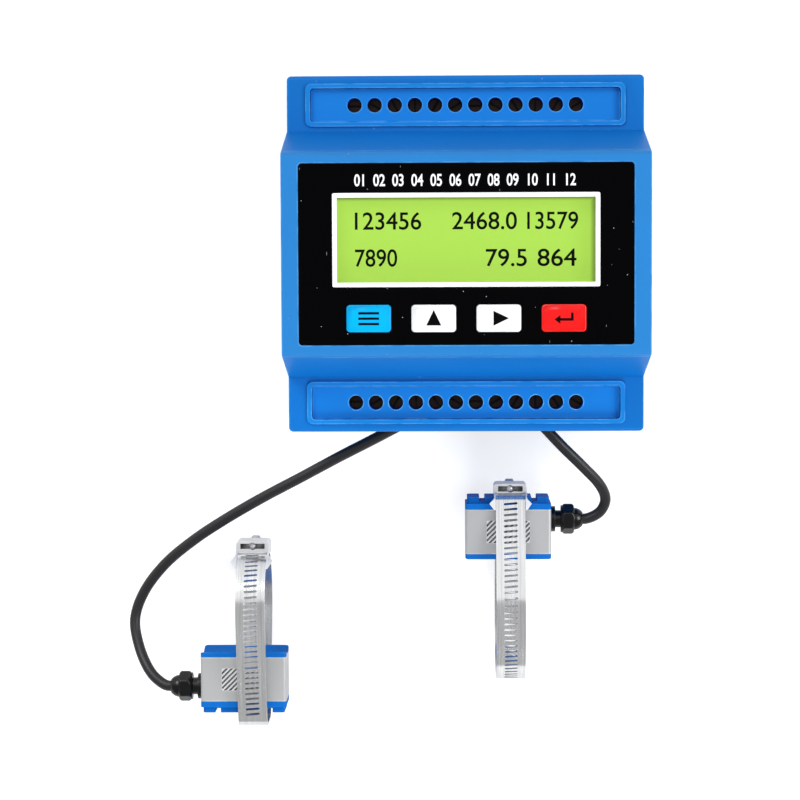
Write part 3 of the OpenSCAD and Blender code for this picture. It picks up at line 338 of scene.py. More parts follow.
# %% Pads: the ribbed rectangles on the sensors' faces, in millimetres
PAD_W, PAD_H, PAD_SKIN = 11.2, 5.8, 0.08
case_boxes = [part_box(side + "_sensor_case") for side in ("right", "left")]
PAD_PLACES = [((low + high).x / 2 / MM, (low + high).y / 2 / MM) for low, high in case_boxes]
PAD_TOP_Z = case_boxes[0][1].z / MM
pads, source, result = new_group("pads", {"Middle X": 0.0, "Middle Y": 0.0}, ["Mask"])
place = axes(pads, object_point(pads))
inside = math_node(pads, "GREATER_THAN", place["Z"], (PAD_TOP_Z - PAD_SKIN) * MM)
for axis, size in (("X", PAD_W), ("Y", PAD_H)):
    middle = product(pads, source["Middle " + axis], MM)
    away = math_node(pads, "ABSOLUTE", math_node(pads, "SUBTRACT", place[axis], middle))
    inside = product(pads, inside, math_node(pads, "LESS_THAN", away, size / 2 * MM))
pads.links.new(inside, result["Mask"])

# %% Hole rims: rings round the holes of both terminal rows
TERMINAL_PITCH, ROW_Y, HOLE_R, HOLES_IN_ROW, UPPER_ROW_SHARE = 5.08, 37.6, 1.85, 12, 0.35
RING_LOW, RING_HIGH, RING_PATCHES = 0.4 * MM, 0.1 * MM, (0.36, 0.60)
WHOLE_SHIFT = 20.0
hole_rims, source, result = new_group("hole_rims", {"Amount": 0.6}, ["Mask"])
place = axes(hole_rims, object_point(hole_rims))
column = product(hole_rims, place["X"], 1 / (TERMINAL_PITCH * MM))
in_column = math_node(hole_rims, "FRACT", math_node(hole_rims, "ADD", column, WHOLE_SHIFT))
sideways = product(hole_rims, math_node(hole_rims, "SUBTRACT", in_column, 0.5), TERMINAL_PITCH * MM)
upright = math_node(hole_rims, "SUBTRACT", math_node(hole_rims, "ABSOLUTE", place["Y"]), ROW_Y * MM)
squares = [product(hole_rims, part, part) for part in (sideways, upright)]
distance = math_node(hole_rims, "SQRT", math_node(hole_rims, "ADD", *squares))
ring = ramp(hole_rims, distance, (HOLE_R + 0.30) * MM, (HOLE_R + 0.02) * MM)
block_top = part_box("upper_terminal_block")[1].z
near_top = ramp(hole_rims, place["Z"], block_top - RING_LOW, block_top - RING_HIGH)
ragged = ramp(hole_rims, noise(hole_rims, object_point(hole_rims), 620, 4), *RING_PATCHES)
in_row = math_node(hole_rims, "LESS_THAN", math_node(hole_rims, "ABSOLUTE", column), HOLES_IN_ROW / 2)
lower_row = math_node(hole_rims, "LESS_THAN", place["Y"], 0.0)
row_share = math_node(hole_rims, "MULTIPLY_ADD", lower_row, 1 - UPPER_ROW_SHARE, UPPER_ROW_SHARE)
rims_mask = product(hole_rims, ring, near_top, ragged, in_row, row_share, source["Amount"])
hole_rims.links.new(rims_mask, result["Mask"])
print("effect groups:", [g.name for g in bpy.data.node_groups])

# %% [markdown]
# ## Finishes
# `finish` builds one material: a Principled BSDF whose base colour wanders by the mottle, is paled by edges
# that are part worn and part painted highlight, by dust and by scratches, and is darkened by painted shade
# in hollows. On the housing, low ledges and slopes get painted shade and the raised rims a painted highlight.
# Scratches are rougher as well. What differs between blue plastic, black film and steel is only the numbers.
# Colours are written as sRGB values between 0 and 255, as a picture editor shows them, and changed to the
# linear values that shaders use.


# %% Colours
# Painted light among these colours: the raised rims' blue and the edge colours are painted highlights, the
# hollow blue and the two darkest greys are painted shade. The hole rims' blue is wear.
RIM_HIGHLIGHT_BLUE, HOLE_RIM_BLUE, EDGE_HIGHLIGHT_BLUE, HOLLOW_SHADE_BLUE = (18, 126, 208), (120, 205, 245), (104, 182, 250), (4, 44, 84)
EDGE_HIGHLIGHT_PALE, PAD_PALE, NICK_PALE, DUST_PALE = (200, 225, 250), (228, 229, 230), (210, 226, 240), (225, 235, 245)
HOLLOW_SHADE_DARK, BOX_SHADE = (24, 24, 26), (14, 14, 15)


def linear(red, green, blue):
    """sRGB bytes to a linear colour: ((c + 0.055) / 1.055) to the power 2.4, or c / 12.92 for the darkest."""
    c = np.array([red, green, blue]) / 255
    c = np.where(c <= 0.04045, c / 12.92, ((c + 0.055) / 1.055) ** 2.4)
    return (*c.tolist(), 1.0)


def mix_colour(tree, factor, a, b):
    """Mix node for colours: `a` where the factor is 0, `b` where it is 1. Each is a colour or a socket."""
    node = tree.nodes.new("ShaderNodeMix")
    node.data_type = "RGBA"
    for socket, value in zip((node.inputs[0], node.inputs[6], node.inputs[7]), (factor, a, b)):
        feed(tree, socket, value)
    return node.outputs[2]


def toned(tree, colour, tone):
    """A colour, which is a tuple or a socket, times a tone."""
    node = tree.nodes.new("ShaderNodeVectorMath")
    node.operation = "SCALE"
    feed(tree, node.inputs[0], colour[:3] if isinstance(colour, tuple) else colour)
    tree.links.new(tone, node.inputs["Scale"])
    return node.outputs["Vector"]


# %% Fine relief
RELIEF_DEPTH = 0.02 * MM


def add_relief(tree, shader, height, strength):
    """Bump node that turns a height between 0 and 1 into a relief of the surface."""
    relief = tree.nodes.new("ShaderNodeBump")
    relief.inputs["Strength"].default_value = strength
    relief.inputs["Distance"].default_value = RELIEF_DEPTH
    tree.links.new(height, relief.inputs["Height"])
    tree.links.new(relief.outputs["Normal"], shader.inputs["Normal"])


# %% One recipe for the moulded and painted finishes
COAT_ROUGHNESS, NICK_ROUGHER = 0.08, 0.25


def finish(
    name, colour, roughness, metallic=0.0, tone=0.12, edge=0.0, edge_highlight_colour=EDGE_HIGHLIGHT_PALE, dust=0.0,
    dust_scale=420.0, scratch=0.0, bump=0.0, bump_scale=1500.0, coat=0.0, specular=0.5, ledge_shade_colour=None,
    rims=0.0, hollow_shade_amount=0.0, hollow_shade_reach=1.0, hollow_shade_colour=HOLLOW_SHADE_DARK, pad_places=(),
):
    """Material from a colour and the amounts of each surface effect."""
    material, tree, shader = new_finish(name)
    shader.inputs["Metallic"].default_value = metallic
    shader.inputs["Specular IOR Level"].default_value = specular
    shader.inputs["Coat Weight"].default_value = coat
    shader.inputs["Coat Roughness"].default_value = COAT_ROUGHNESS
    base = linear(*colour)
    # On the housing the low ledges and slopes get painted shade, and the raised rims on them a painted
    # highlight.
    if ledge_shade_colour:
        low = add_group(tree, ledge_shade_and_rim_highlight)
        ledge_shaded = mix_colour(tree, low["Mask"], base, linear(*ledge_shade_colour))
        base = mix_colour(tree, low["Rim"], ledge_shaded, linear(*RIM_HIGHLIGHT_BLUE))
    wander = add_group(tree, mottle, Amount=tone)["Tone"]
    out = toned(tree, base, wander)
    rough = product(tree, wander, roughness)
    # Sharp edges are painted paler: part wear, part painted highlight.
    if edge:
        out = mix_colour(tree, add_group(tree, edge_wear_and_highlight, Amount=edge)["Mask"], out, linear(*edge_highlight_colour))
    for x, y in pad_places:
        mask = add_group(tree, pads, **{"Middle X": x, "Middle Y": y})["Mask"]
        out = mix_colour(tree, mask, out, linear(*PAD_PALE))
    if rims:
        out = mix_colour(tree, add_group(tree, hole_rims, Amount=rims)["Mask"], out, linear(*HOLE_RIM_BLUE))
    if scratch:
        mask = add_group(tree, scratches)["Mask"]
        out = mix_colour(tree, product(tree, mask, scratch), out, linear(*NICK_PALE))
        rough = math_node(tree, "MULTIPLY_ADD", mask, NICK_ROUGHER, roughness)
    if dust:
        mask = add_group(tree, specks, Scale=dust_scale)["Mask"]
        out = mix_colour(tree, product(tree, mask, dust), out, linear(*DUST_PALE))
    # Painted shade: corners and slots that see little of the sky are darkened.
    if hollow_shade_amount:
        mask = add_group(tree, hollow_shade, Reach=hollow_shade_reach, Amount=hollow_shade_amount)["Mask"]
        out = mix_colour(tree, mask, out, linear(*hollow_shade_colour))
    tree.links.new(out, shader.inputs["Base Color"])
    tree.links.new(rough, shader.inputs["Roughness"])
    if bump:
        add_relief(tree, shader, noise(tree, object_point(tree), bump_scale, 2), bump)
    return material


# %% Plastics of the housing and the sensors
blue_plastic = finish(
    "blue_plastic", (38, 120, 190), 0.42, tone=0.18, edge=0.75, edge_highlight_colour=EDGE_HIGHLIGHT_BLUE, dust=0.5,
    dust_scale=460, scratch=0.4, bump=0.25, specular=0.14, ledge_shade_colour=(12, 108, 190), hollow_shade_amount=0.45,
    hollow_shade_reach=0.9, hollow_shade_colour=HOLLOW_SHADE_BLUE,
)
block_plastic = finish(
    "block_plastic", (20, 124, 212), 0.45, tone=0.12, edge=0.5, edge_highlight_colour=EDGE_HIGHLIGHT_BLUE, bump=0.2,
    specular=0.14, rims=0.7, hollow_shade_amount=0.75, hollow_shade_reach=1.2, hollow_shade_colour=(6, 12, 18),
)
cap_plastic = finish(
    "cap_plastic", (6, 100, 186), 0.62, tone=0.15, edge=0.12, edge_highlight_colour=EDGE_HIGHLIGHT_BLUE, bump=0.2, specular=0.12,
    hollow_shade_amount=0.5, hollow_shade_reach=0.6, hollow_shade_colour=HOLLOW_SHADE_BLUE,
)
black_plastic = finish(
    "black_plastic", (7, 7, 8), 0.22, tone=0.3, edge=0.2, edge_highlight_colour=(110, 112, 116), bump=0.2, specular=0.4,
)

# %% Films, inks and keys
black_film = finish("black_film", (4, 4, 5), 0.16, tone=0.3, dust=0.55, scratch=0.3, specular=0.03)
white_ink = finish("white_ink", (240, 242, 244), 0.5, tone=0.03)
black_ink = finish("black_ink", (4, 4, 6), 0.6, tone=0.05, specular=0.05)
white_plastic = finish(
    "white_plastic", (246, 247, 248), 0.35, tone=0.03, edge=0.2, edge_highlight_colour=(255, 255, 255),
)
blue_key_plastic = finish(
    "blue_key_plastic", (0, 170, 234), 0.35, tone=0.06, edge=0.3, edge_highlight_colour=(150, 220, 255), specular=0.1,
)
red_key_plastic = finish(
    "red_key_plastic", (240, 20, 20), 0.3, tone=0.06, edge=0.35, edge_highlight_colour=(255, 190, 180), specular=0.25,
)

# %% Rubbers, boards and what lies inside
jacket_rubber = finish("jacket_rubber", (30, 30, 32), 0.42, tone=0.25, bump=0.3, specular=0.45)
soft_rubber = finish("soft_rubber", (26, 26, 28), 0.7, tone=0.2, bump=0.4)
board_resist = finish("board_resist", (22, 92, 50), 0.3, tone=0.2, bump=0.15, coat=0.3)
sleeve_film = finish("sleeve_film", (36, 46, 78), 0.3, tone=0.12)
relay_plastic = finish("relay_plastic", (38, 92, 158), 0.4, tone=0.12, edge=0.3)
ribbon_film = finish("ribbon_film", (150, 154, 160), 0.5, tone=0.15)
red_insulation = finish("red_insulation", (176, 44, 34), 0.4, tone=0.1, bump=0.2)
pale_insulation = finish("pale_insulation", (226, 222, 210), 0.4, tone=0.06, bump=0.2)
ceramic = finish("ceramic", (208, 192, 140), 0.35, metallic=0.3, tone=0.15)

# %% Metals
sensor_paint = finish(
    "sensor_paint", (182, 183, 184), 0.38, metallic=0.3, tone=0.10, edge=0.9, edge_highlight_colour=(238, 239, 240),
    bump=0.3, bump_scale=2600, hollow_shade_amount=0.9, hollow_shade_reach=0.5, hollow_shade_colour=(60, 61, 63), pad_places=PAD_PLACES,
)
plated_steel = finish(
    "plated_steel", (228, 230, 232), 0.3, metallic=0.6, tone=0.18, edge=0.6, edge_highlight_colour=(250, 250, 251),
    bump=0.15, hollow_shade_amount=0.95, hollow_shade_reach=1.6, hollow_shade_colour=BOX_SHADE,
)
box_steel = finish(
    "box_steel", (228, 229, 231), 0.3, metallic=0.4, tone=0.12, edge=0.7, edge_highlight_colour=(252, 252, 253),
    bump=0.15, hollow_shade_amount=0.95, hollow_shade_reach=1.6, hollow_shade_colour=BOX_SHADE,
)
dull_screw = finish(
    "dull_screw", (88, 64, 42), 0.5, metallic=0.6, tone=0.6, bump=0.4, hollow_shade_amount=0.9, hollow_shade_colour=(8, 6, 4),
)
print("materials:", len(bpy.data.materials))

# %% [markdown]
# ## Brushed band steel
# A clamp band is rolled and polished along its length, so its gloss is streaky across the band. The streaks
# are noise that changes fast across the band, along X, and slowly along the other two directions, in which
# the band bends. The steel is painted whiter in its upper half and a little greyer towards the bench: a
# painted reflection, as of a bright softbox above. Its edges are painted paler, part wear and part painted
# highlight, and its slots darker with painted shade.

# %% Band steel with streaks along the band
BAND_GREY, BAND_EDGE_HIGHLIGHT, SLOT_SHADE_GREY = (236, 237, 238), (250, 250, 252), (110, 112, 115)
STREAK_SCALE, PATCH_SCALE = (2600.0, 60.0, 60.0), 120
CLAMP_Z, REFLECTION_FADE, LOW_REFLECTION_SHARE = 14.2, 11, 0.85
LEAST_TONE, STREAK_TONE, LEAST_ROUGH, STREAK_ROUGH = 0.6, 0.6, 0.12, 0.3
band_steel, tree, shader = new_finish("band_steel")
shader.inputs["Metallic"].default_value = 0.85
streak = noise(tree, stretched(tree, STREAK_SCALE), 1.0)
patch = noise(tree, object_point(tree), PATCH_SCALE)
height = axes(tree, object_point(tree))["Z"]
# Painted reflection: the band's upper half is painted whiter and its lower part greyer.
upper_half = ramp(tree, height, CLAMP_Z * MM, (CLAMP_Z + REFLECTION_FADE) * MM)
painted_reflection_tone = math_node(tree, "MULTIPLY_ADD", upper_half, 1 - LOW_REFLECTION_SHARE, LOW_REFLECTION_SHARE)
brushed = math_node(tree, "MULTIPLY_ADD", streak, STREAK_TONE, LEAST_TONE)
bare = toned(tree, linear(*BAND_GREY), product(tree, brushed, painted_reflection_tone))
# The band's edges are painted paler: part wear, part painted highlight.
edge_highlight_mask = add_group(tree, edge_wear_and_highlight, Amount=0.6)["Mask"]
paled = mix_colour(tree, edge_highlight_mask, bare, linear(*BAND_EDGE_HIGHLIGHT))
# Painted shade in the band's slots.
slot_shade_mask = add_group(tree, hollow_shade, Reach=0.8, Amount=0.5)["Mask"]
tree.links.new(mix_colour(tree, slot_shade_mask, paled, linear(*SLOT_SHADE_GREY)), shader.inputs["Base Color"])
rough = math_node(tree, "MULTIPLY_ADD", product(tree, streak, patch), STREAK_ROUGH, LEAST_ROUGH)
tree.links.new(rough, shader.inputs["Roughness"])
add_relief(tree, shader, streak, 0.04)

# %% [markdown]
# ## Lit display and clear window
# The display is lit from behind, so its glass glows: the green is an emission as well as a base colour. A
# darker green is painted into both along the top and the right, under the border: a painted shadow of the
# border. The window over it is a clear pane. A pane with a low alpha lets the display through without bent
# light or noise, and the rest of it still catches the lamps.

# %% Display finishes
LIT_GREEN, BORDER_SHADOW_GREEN, GLOW_STRENGTH = (185, 234, 84), (30, 44, 12), 0.62
BORDER_LINE, TOP_SHADOW, RIGHT_SHADOW, SHADOW_SHARE = 1.1, 0.9, 1.4, 0.6
display_glow = finish("display_glow", (100, 135, 44), 0.35, tone=0.03)
tree = display_glow.node_tree
shader = tree.nodes["Principled BSDF"]
shader.inputs["Emission Strength"].default_value = GLOW_STRENGTH
place = axes(tree, object_point(tree))
border_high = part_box("display_border")[1]
# Painted shadow of the border along the top and the right of the glass.
border_shadows = []
for axis, end, reach in (("X", border_high.x, RIGHT_SHADOW), ("Y", border_high.y, TOP_SHADOW)):
    end = end - BORDER_LINE * MM
    border_shadows.append(ramp(tree, place[axis], end - reach * MM, end))
border_shadow = product(tree, math_node(tree, "MAXIMUM", *border_shadows), SHADOW_SHARE)
unlit = shader.inputs["Base Color"].links[0].from_socket
for colour, label in ((unlit, "Base Color"), (linear(*LIT_GREEN), "Emission Color")):
    tree.links.new(mix_colour(tree, border_shadow, colour, linear(*BORDER_SHADOW_GREEN)), shader.inputs[label])
diffuser = finish("diffuser", (232, 246, 214), 0.5, tone=0.03)
display_ink = finish("display_ink", (3, 6, 2), 0.6, tone=0.05, specular=0.05)

# %% Clear window
clear_pane, tree, shader = new_finish("clear_pane")
shader.inputs["Base Color"].default_value = (0.05, 0.06, 0.05, 1)
shader.inputs["Roughness"].default_value = 0.04
shader.inputs["Specular IOR Level"].default_value = 0.2
shader.inputs["Alpha"].default_value = 0.02

# %% [markdown]
# ## Sensor cables
# Each sensor hangs on a thin round cable that leaves the meter through the lower terminal bay, lies in one
# loose bend and ends inside the sensor's gland. A cable is one curve with a round bevel. Its points are the
# solid model's own, joined by the same Catmull-Rom formula, so the cable lies exactly where its solid lies.


# %% Smooth curves through chosen points
def smooth_line(points, steps):
    """Catmull-Rom curve: between points b and c, half of 2b + (c-a)t + (2a-5b+4c-d)t^2 + (3b-a-3c+d)t^3."""
    p = np.array(points, float) * MM
    a = np.vstack([p[:1], p[:-2]])[:, None]
    b, c = p[:-1][:, None], p[1:][:, None]
    d = np.vstack([p[2:], p[-1:]])[:, None]
    t = np.linspace(0, 1, steps, endpoint=False)[None, :, None]
    line = (2 * b + (c - a) * t + (2 * a - 5 * b + 4 * c - d) * t**2 + (3 * b - a - 3 * c + d) * t**3) / 2
    return np.vstack([line.reshape(-1, 3), p[-1]])


def round_cord(name, line, diameter, material):
    """Curve object of one open poly spline with a round bevel."""
    curve = bpy.data.curves.new(name, "CURVE")
    curve.dimensions = "3D"
    curve.bevel_depth = diameter / 2
    curve.bevel_resolution = 6
    curve.use_fill_caps = True
    spline = curve.splines.new("POLY")
    spline.points.add(len(line) - 1)
    spline.points.foreach_set("co", np.column_stack([line, np.ones(len(line))]).ravel())
    spline.use_smooth = True
    piece = bpy.data.objects.new(name, curve)
    piece.data.materials.append(material)
    scene.collection.objects.link(piece)
    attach(piece, "meter")
    return piece


# %% The two cables' routes, in millimetres
CABLE_D = 2.8
left_route = [
    (-15.5, -43.3, 24.4), (-24, -47.8, 23.4), (-33, -52.5, 21.5), (-43, -58, 18.8), (-53, -63.4, 16),
    (-63, -69.3, 13), (-72, -75.3, 10.4), (-80, -82, 8), (-85.8, -89.5, 6.8), (-88.4, -97, 6.8),
    (-87, -104.3, 9), (-83.8, -110.2, 12.2), (-80, -113.3, 13.9), (-77, -113.7, 14.2), (-71.5, -113.7, 14.2),
]
right_route = [
    (19.4, -43.8, 24.4), (25, -49.8, 23), (30.5, -55.3, 20.8), (34.8, -60, 18.4), (36.5, -64, 16.2),
    (35.3, -67.4, 14.9), (32.2, -69.3, 14.3), (29, -69.5, 14.2), (24.2, -69.5, 14.2),
]
CORE_D, CORE_SPREAD_SHARE = 0.9, 0.65
CORE_TURN_Y, CORE_Z = -40.9, 23.9
CORE_ENDS_X = {
    "left": (-2.5 * TERMINAL_PITCH, -1.5 * TERMINAL_PITCH),
    "right": (2.5 * TERMINAL_PITCH, 3.5 * TERMINAL_PITCH),
}
CABLE_STEPS, CORE_STEPS = 8, 6

# %% Cables and the cores that leave them
for side, route in (("left", left_route), ("right", right_route)):
    line = smooth_line(route, CABLE_STEPS)
    cable = round_cord(side + "_cable_jacket", line, CABLE_D * MM, jacket_rubber)
    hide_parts(side + "_cable")
    start, second = np.array(route[0], float), np.array(route[1], float)
    back = (start - second) / np.linalg.norm(start - second)
    aside = np.cross(back, (0, 0, 1)) * CORE_D * CORE_SPREAD_SHARE
    for k, (x, material) in enumerate(zip(CORE_ENDS_X[side], (red_insulation, pale_insulation))):
        leave = start + back * CORE_D / 2 + (2 * k - 1) * aside
        bend, end = (x, CORE_TURN_Y, CORE_Z), (x, -ROW_Y, CORE_Z)
        points = [leave - back * CORE_D, leave, leave + back * CORE_D, bend, end]
        core = round_cord(f"{side}_core_{k + 1}", smooth_line(points, CORE_STEPS), CORE_D * MM, material)
    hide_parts(side + "_cores")

# %% [markdown]
# ## Rounded edges for the solid pieces
# A moulded or stamped piece has no razor-sharp edge: even a radius of 0.2 mm catches a line of light. Each
# visible solid is copied, its loose triangles are welded, flat faces are joined again, and a Bevel modifier
# rounds the edges. The copy then stands for the solid.


# %% Object of a finished mesh
def placed(name, mesh, material, body):
    """Object with one material that rides on a body and fills a slot."""
    mesh.materials.clear()
    mesh.materials.append(material)
    piece = bpy.data.objects.new(name, mesh)
    scene.collection.objects.link(piece)
    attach(piece, body)
    return piece


# %% Copy a solid and round its edges
WELD, FLAT_DEG, SHARP_DEG = 0.001 * MM, 0.5, 30


def rounded_copy(node, width, material, segments=2, body="meter", join_flat=True):
    """Welded copy of a solid whose edges sharper than 30 degrees are rounded by `width` millimetres. Where a
    flat face has many holes, `join_flat` is off and it stays in triangles, because one large face could fold
    over."""
    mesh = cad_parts[node].data.copy()
    mesh.name = node + "_finished"
    if "custom_normal" in mesh.attributes:
        mesh.attributes.remove(mesh.attributes["custom_normal"])
    shape = bmesh.new()
    shape.from_mesh(mesh)
    bmesh.ops.remove_doubles(shape, verts=shape.verts, dist=WELD)
    if join_flat:
        flat = math.radians(FLAT_DEG)
        bmesh.ops.dissolve_limit(shape, angle_limit=flat, verts=shape.verts, edges=shape.edges)
    for face in shape.faces:
        face.smooth = True
    shape.to_mesh(mesh)
    shape.free()
    piece = placed(node + "_finished", mesh, material, body)
    if width:
        bevel = piece.modifiers.new("Rounded edges", "BEVEL")
        bevel.width = width * MM
        bevel.segments = segments
        bevel.limit_method = "ANGLE"
        bevel.angle_limit = math.radians(SHARP_DEG)
        bevel.harden_normals = True
    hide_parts(node)
    return piece


# %% Housing, blocks and latch
rounded_copy("terminal_shell", 0.3, blue_plastic, 3)
rounded_copy("rear_base", 0.3, blue_plastic)
rounded_copy("front_bezel", 0.25, blue_plastic)
rounded_copy("upper_terminal_block", 0.12, block_plastic, join_flat=False)
rounded_copy("lower_terminal_block", 0.12, block_plastic, join_flat=False)
rounded_copy("rail_latch", 0.25, black_plastic, body="rail_latch", join_flat=False)
rounded_copy("front_overlay", 0.06, black_film)
rounded_copy("display_border", 0.12, white_plastic)

# %% Sensors and clamps
for side in ("right", "left"):
    rounded_copy(side + "_sensor_case", 0.05, sensor_paint)
    rounded_copy(side + "_sensor_cap", 0.15, cap_plastic)
    rounded_copy(side + "_coupling_base", 0.15, cap_plastic)
    rounded_copy(side + "_gland_body", 0.15, black_plastic)
    rounded_copy(side + "_screw_box", 0.12, box_steel)
    rounded_copy(side + "_band", 0.08, band_steel)

# %% [markdown]
# ## Pieces that keep their solid
# Most of what lies inside the housing, and the small screws, already has the right shape. These nodes stay
# as they are and only get a finish, by filling their material slot.

# %% Finishes for the remaining solids
kept = {
    plated_steel: [
        "display_screws", "board_screws", "lcd_bezel", "backup_battery", "upper_wire_clamps",
        "lower_wire_clamps",
    ],
    dull_screw: ["upper_terminal_screws", "lower_terminal_screws"],
    board_resist: ["lcd_board", "display_board", "main_board"],
    black_plastic: ["key_switches", "board_headers", "chips"],
    soft_rubber: ["right_damping_block", "left_damping_block", "right_gland_seal", "left_gland_seal"],
    ceramic: ["right_piezo_disc", "left_piezo_disc"],
    clear_pane: ["display_window"],
    display_glow: ["lcd_glass"],
    diffuser: ["lcd_backlight"],
    ribbon_film: ["ribbon_cable"],
    sleeve_film: ["filter_capacitors"],
    relay_plastic: ["output_relay"],
}
for material, names in kept.items():
    for name in names:
        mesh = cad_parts[name].data
        mesh.materials.clear()
        mesh.materials.append(material)
print("kept solids:", sum(len(names) for names in kept.values()))

# %% [markdown]
# ## Surfaces on a grid
# The other pieces are surfaces: a table of points with rows and columns, each point a formula of its row
# and column. `surface` makes the quads between neighbouring points and joins the last column to the first. A
# ring also joins its last row to its first. A pole is a row of equal points, which the weld makes one point.


# %% Mesh from a grid of points
GRID_WELD = 0.0005 * MM


def surface(name, points, material, body="meter", ring=False, flip=False):
    """Quads between neighbours of a (rows, columns, 3) array of points in metres, closed all round, welded
    and facing outwards."""
    rows, columns = points.shape[:2]
    i = np.arange(rows if ring else rows - 1)[:, None]
    j = np.arange(columns)[None, :]
    here, below = i * columns, (i + 1) % rows * columns
    beside = (j + 1) % columns
    quads = np.stack([here + j, here + beside, below + beside, below + j], axis=-1).reshape(-1, 4)
    if flip:
        quads = quads[:, ::-1]
    mesh = bpy.data.meshes.new(name)
    mesh.from_pydata(points.reshape(-1, 3).tolist(), [], quads.tolist())
    shape = bmesh.new()
    shape.from_mesh(mesh)
    bmesh.ops.remove_doubles(shape, verts=shape.verts, dist=GRID_WELD)
    for face in shape.faces:
        face.smooth = True
    shape.to_mesh(mesh)
    shape.free()
    return placed(name, mesh, material, body)


# %% Outline of a rectangle with round corners
CORNER_POINTS = 6


def round_corners(width, height, radius):
    """Points of a rectangle whose corners are quarter circles, anticlockwise, as an array of [x, y]."""
    quarter = np.repeat(np.arange(4), CORNER_POINTS)
    angle = np.pi / 2 * (quarter + np.tile(np.linspace(0, 1, CORNER_POINTS), 4))
    centre_x = (width / 2 - radius) * np.sign(np.cos(np.pi / 4 + np.pi / 2 * quarter))
    centre_y = (height / 2 - radius) * np.sign(np.sin(np.pi / 4 + np.pi / 2 * quarter))
    return np.column_stack([centre_x + radius * np.cos(angle), centre_y + radius * np.sin(angle)])


# %% [markdown]
# ## Keys
# A key cap is soft to the touch: straight sides, a rounded shoulder and a top that is a shallow dome. The
# surface is a stack of rounded rectangles. The first rows go up the side, the next ones round the shoulder,
# and the rest shrink to the middle while their height follows a parabola.

# %% Key caps
KEY_W, KEY_H, KEY_R, CAP_FOOT = 10.8, 6.6, 0.9, 1.4
SHOULDER, CROWN, SHOULDER_ROWS, DOME_ROWS = 0.35, 0.12, 6, 9
LEAST_R, LEAST_H = 0.02, 0.05
turn = np.linspace(0, np.pi / 2, SHOULDER_ROWS)
shrink = np.linspace(SHOULDER, KEY_H / 2, DOME_ROWS + 1)[1:]
inset = np.concatenate([[0, 0], SHOULDER * (1 - np.cos(turn)), shrink])
share = np.clip((inset - SHOULDER) / (KEY_H / 2 - SHOULDER), 0, 1)
dome = CROWN * (1 - (1 - share) ** 2) * (share > 0)
for name, material, slot in (
    ("menu_key", blue_key_plastic, "key_blue"), ("up_key", white_plastic, "key_white"),
    ("right_key", white_plastic, "key_white"), ("enter_key", red_key_plastic, "key_red"),
):
    low, high = (np.array(c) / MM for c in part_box(name))
    middle = (low + high) / 2
    top = high[2] - CROWN / 2
    side_z = [low[2] + CAP_FOOT, top - SHOULDER]
    shoulder_z = top - SHOULDER + SHOULDER * np.sin(turn)
    height = np.concatenate([side_z, shoulder_z, np.full(DOME_ROWS, top)]) + dome
    rows = []
    for gap, z in zip(inset, height):
        outline = round_corners(KEY_W - 2 * gap, max(KEY_H - 2 * gap, LEAST_H), max(KEY_R - gap, LEAST_R))
        rows.append(np.column_stack([outline + middle[:2], np.full(len(outline), z)]))
    surface(name + "_cap", np.array(rows) * MM, material, name)
    rounded_copy(name, 0.0, material, body=name)
print("key caps made")

# %% [markdown]
# ## Threads, nuts and domes
# Anything turned on a lathe, cut to a hexagon or threaded is one surface in polar form: the distance from
# the axis is a formula of the angle and of the place along the axis. For the worm it is a ridge that climbs
# one pitch a turn, for a nut it is the hexagon's edge, cut back where it would be sharper than a circle.


# %% Points about an axis
def about_axis(stations, radius_of, columns):
    """Three tables of coordinates: along an axis, across it and up from it. Each row is a ring of points at a
    station s, whose distance from the axis is radius_of(angle, s)."""
    angle = np.linspace(0, 2 * np.pi, columns, endpoint=False)[None, :]
    s = np.array(stations, float)[:, None]
    radius = radius_of(angle, s) * np.ones((len(stations), columns))
    return s * np.ones_like(radius), radius * np.cos(angle), radius * np.sin(angle)


def hexagon_radius(angle, flats):
    """Distance from the middle of a hexagon to its edge, where `flats` is the distance across it."""
    return flats / 2 / np.cos((angle % (math.pi / 3)) - math.pi / 6)


# %% Shape of the worm screws
WORM_R, WORM_ROOT, THREAD_PITCH, RIDGE_SLOPE, RIDGE_START = 0.95, 0.65, 1.42, 3.2, 0.3
HEAD_L, HEAD_R, HEAD_CORNER_SHARE, NECK_L, WORM_END = 2.0, 1.8, 0.975, 2.0, 7.25
COLLAR_R, COLLAR_LOW, COLLAR_HIGH = 1.2, -0.56, -0.05
HAIR, FOOT_POLE, TIP_POLE = 0.0001, 0.002, 0.05
head_low = -NECK_L - HEAD_L


def worm_radius(angle, s):
    """Head: a hexagon with rounded corners. Collar and neck: circles. Thread: a smooth ridge that climbs with
    the angle. The first and last stations are poles on the axis."""
    hexagon = hexagon_radius(angle, 2 * HEAD_R * math.cos(math.pi / 6))
    head = np.minimum(hexagon, HEAD_R * HEAD_CORNER_SHARE)
    phase = (s / THREAD_PITCH - angle / (2 * np.pi)) % 1.0
    ridge = np.clip(RIDGE_SLOPE * (0.5 - np.abs(phase - 0.5)) - RIDGE_START, 0, 1)
    thread = WORM_ROOT + (WORM_R - WORM_ROOT) * ridge
    out = np.where(s < -NECK_L, head, np.where(s < 0, WORM_R, thread))
    out = np.where((s > COLLAR_LOW) & (s < COLLAR_HIGH), COLLAR_R, out)
    return np.where((s < head_low - FOOT_POLE / 2) | (s > WORM_END + TIP_POLE / 2), 0.0, out)


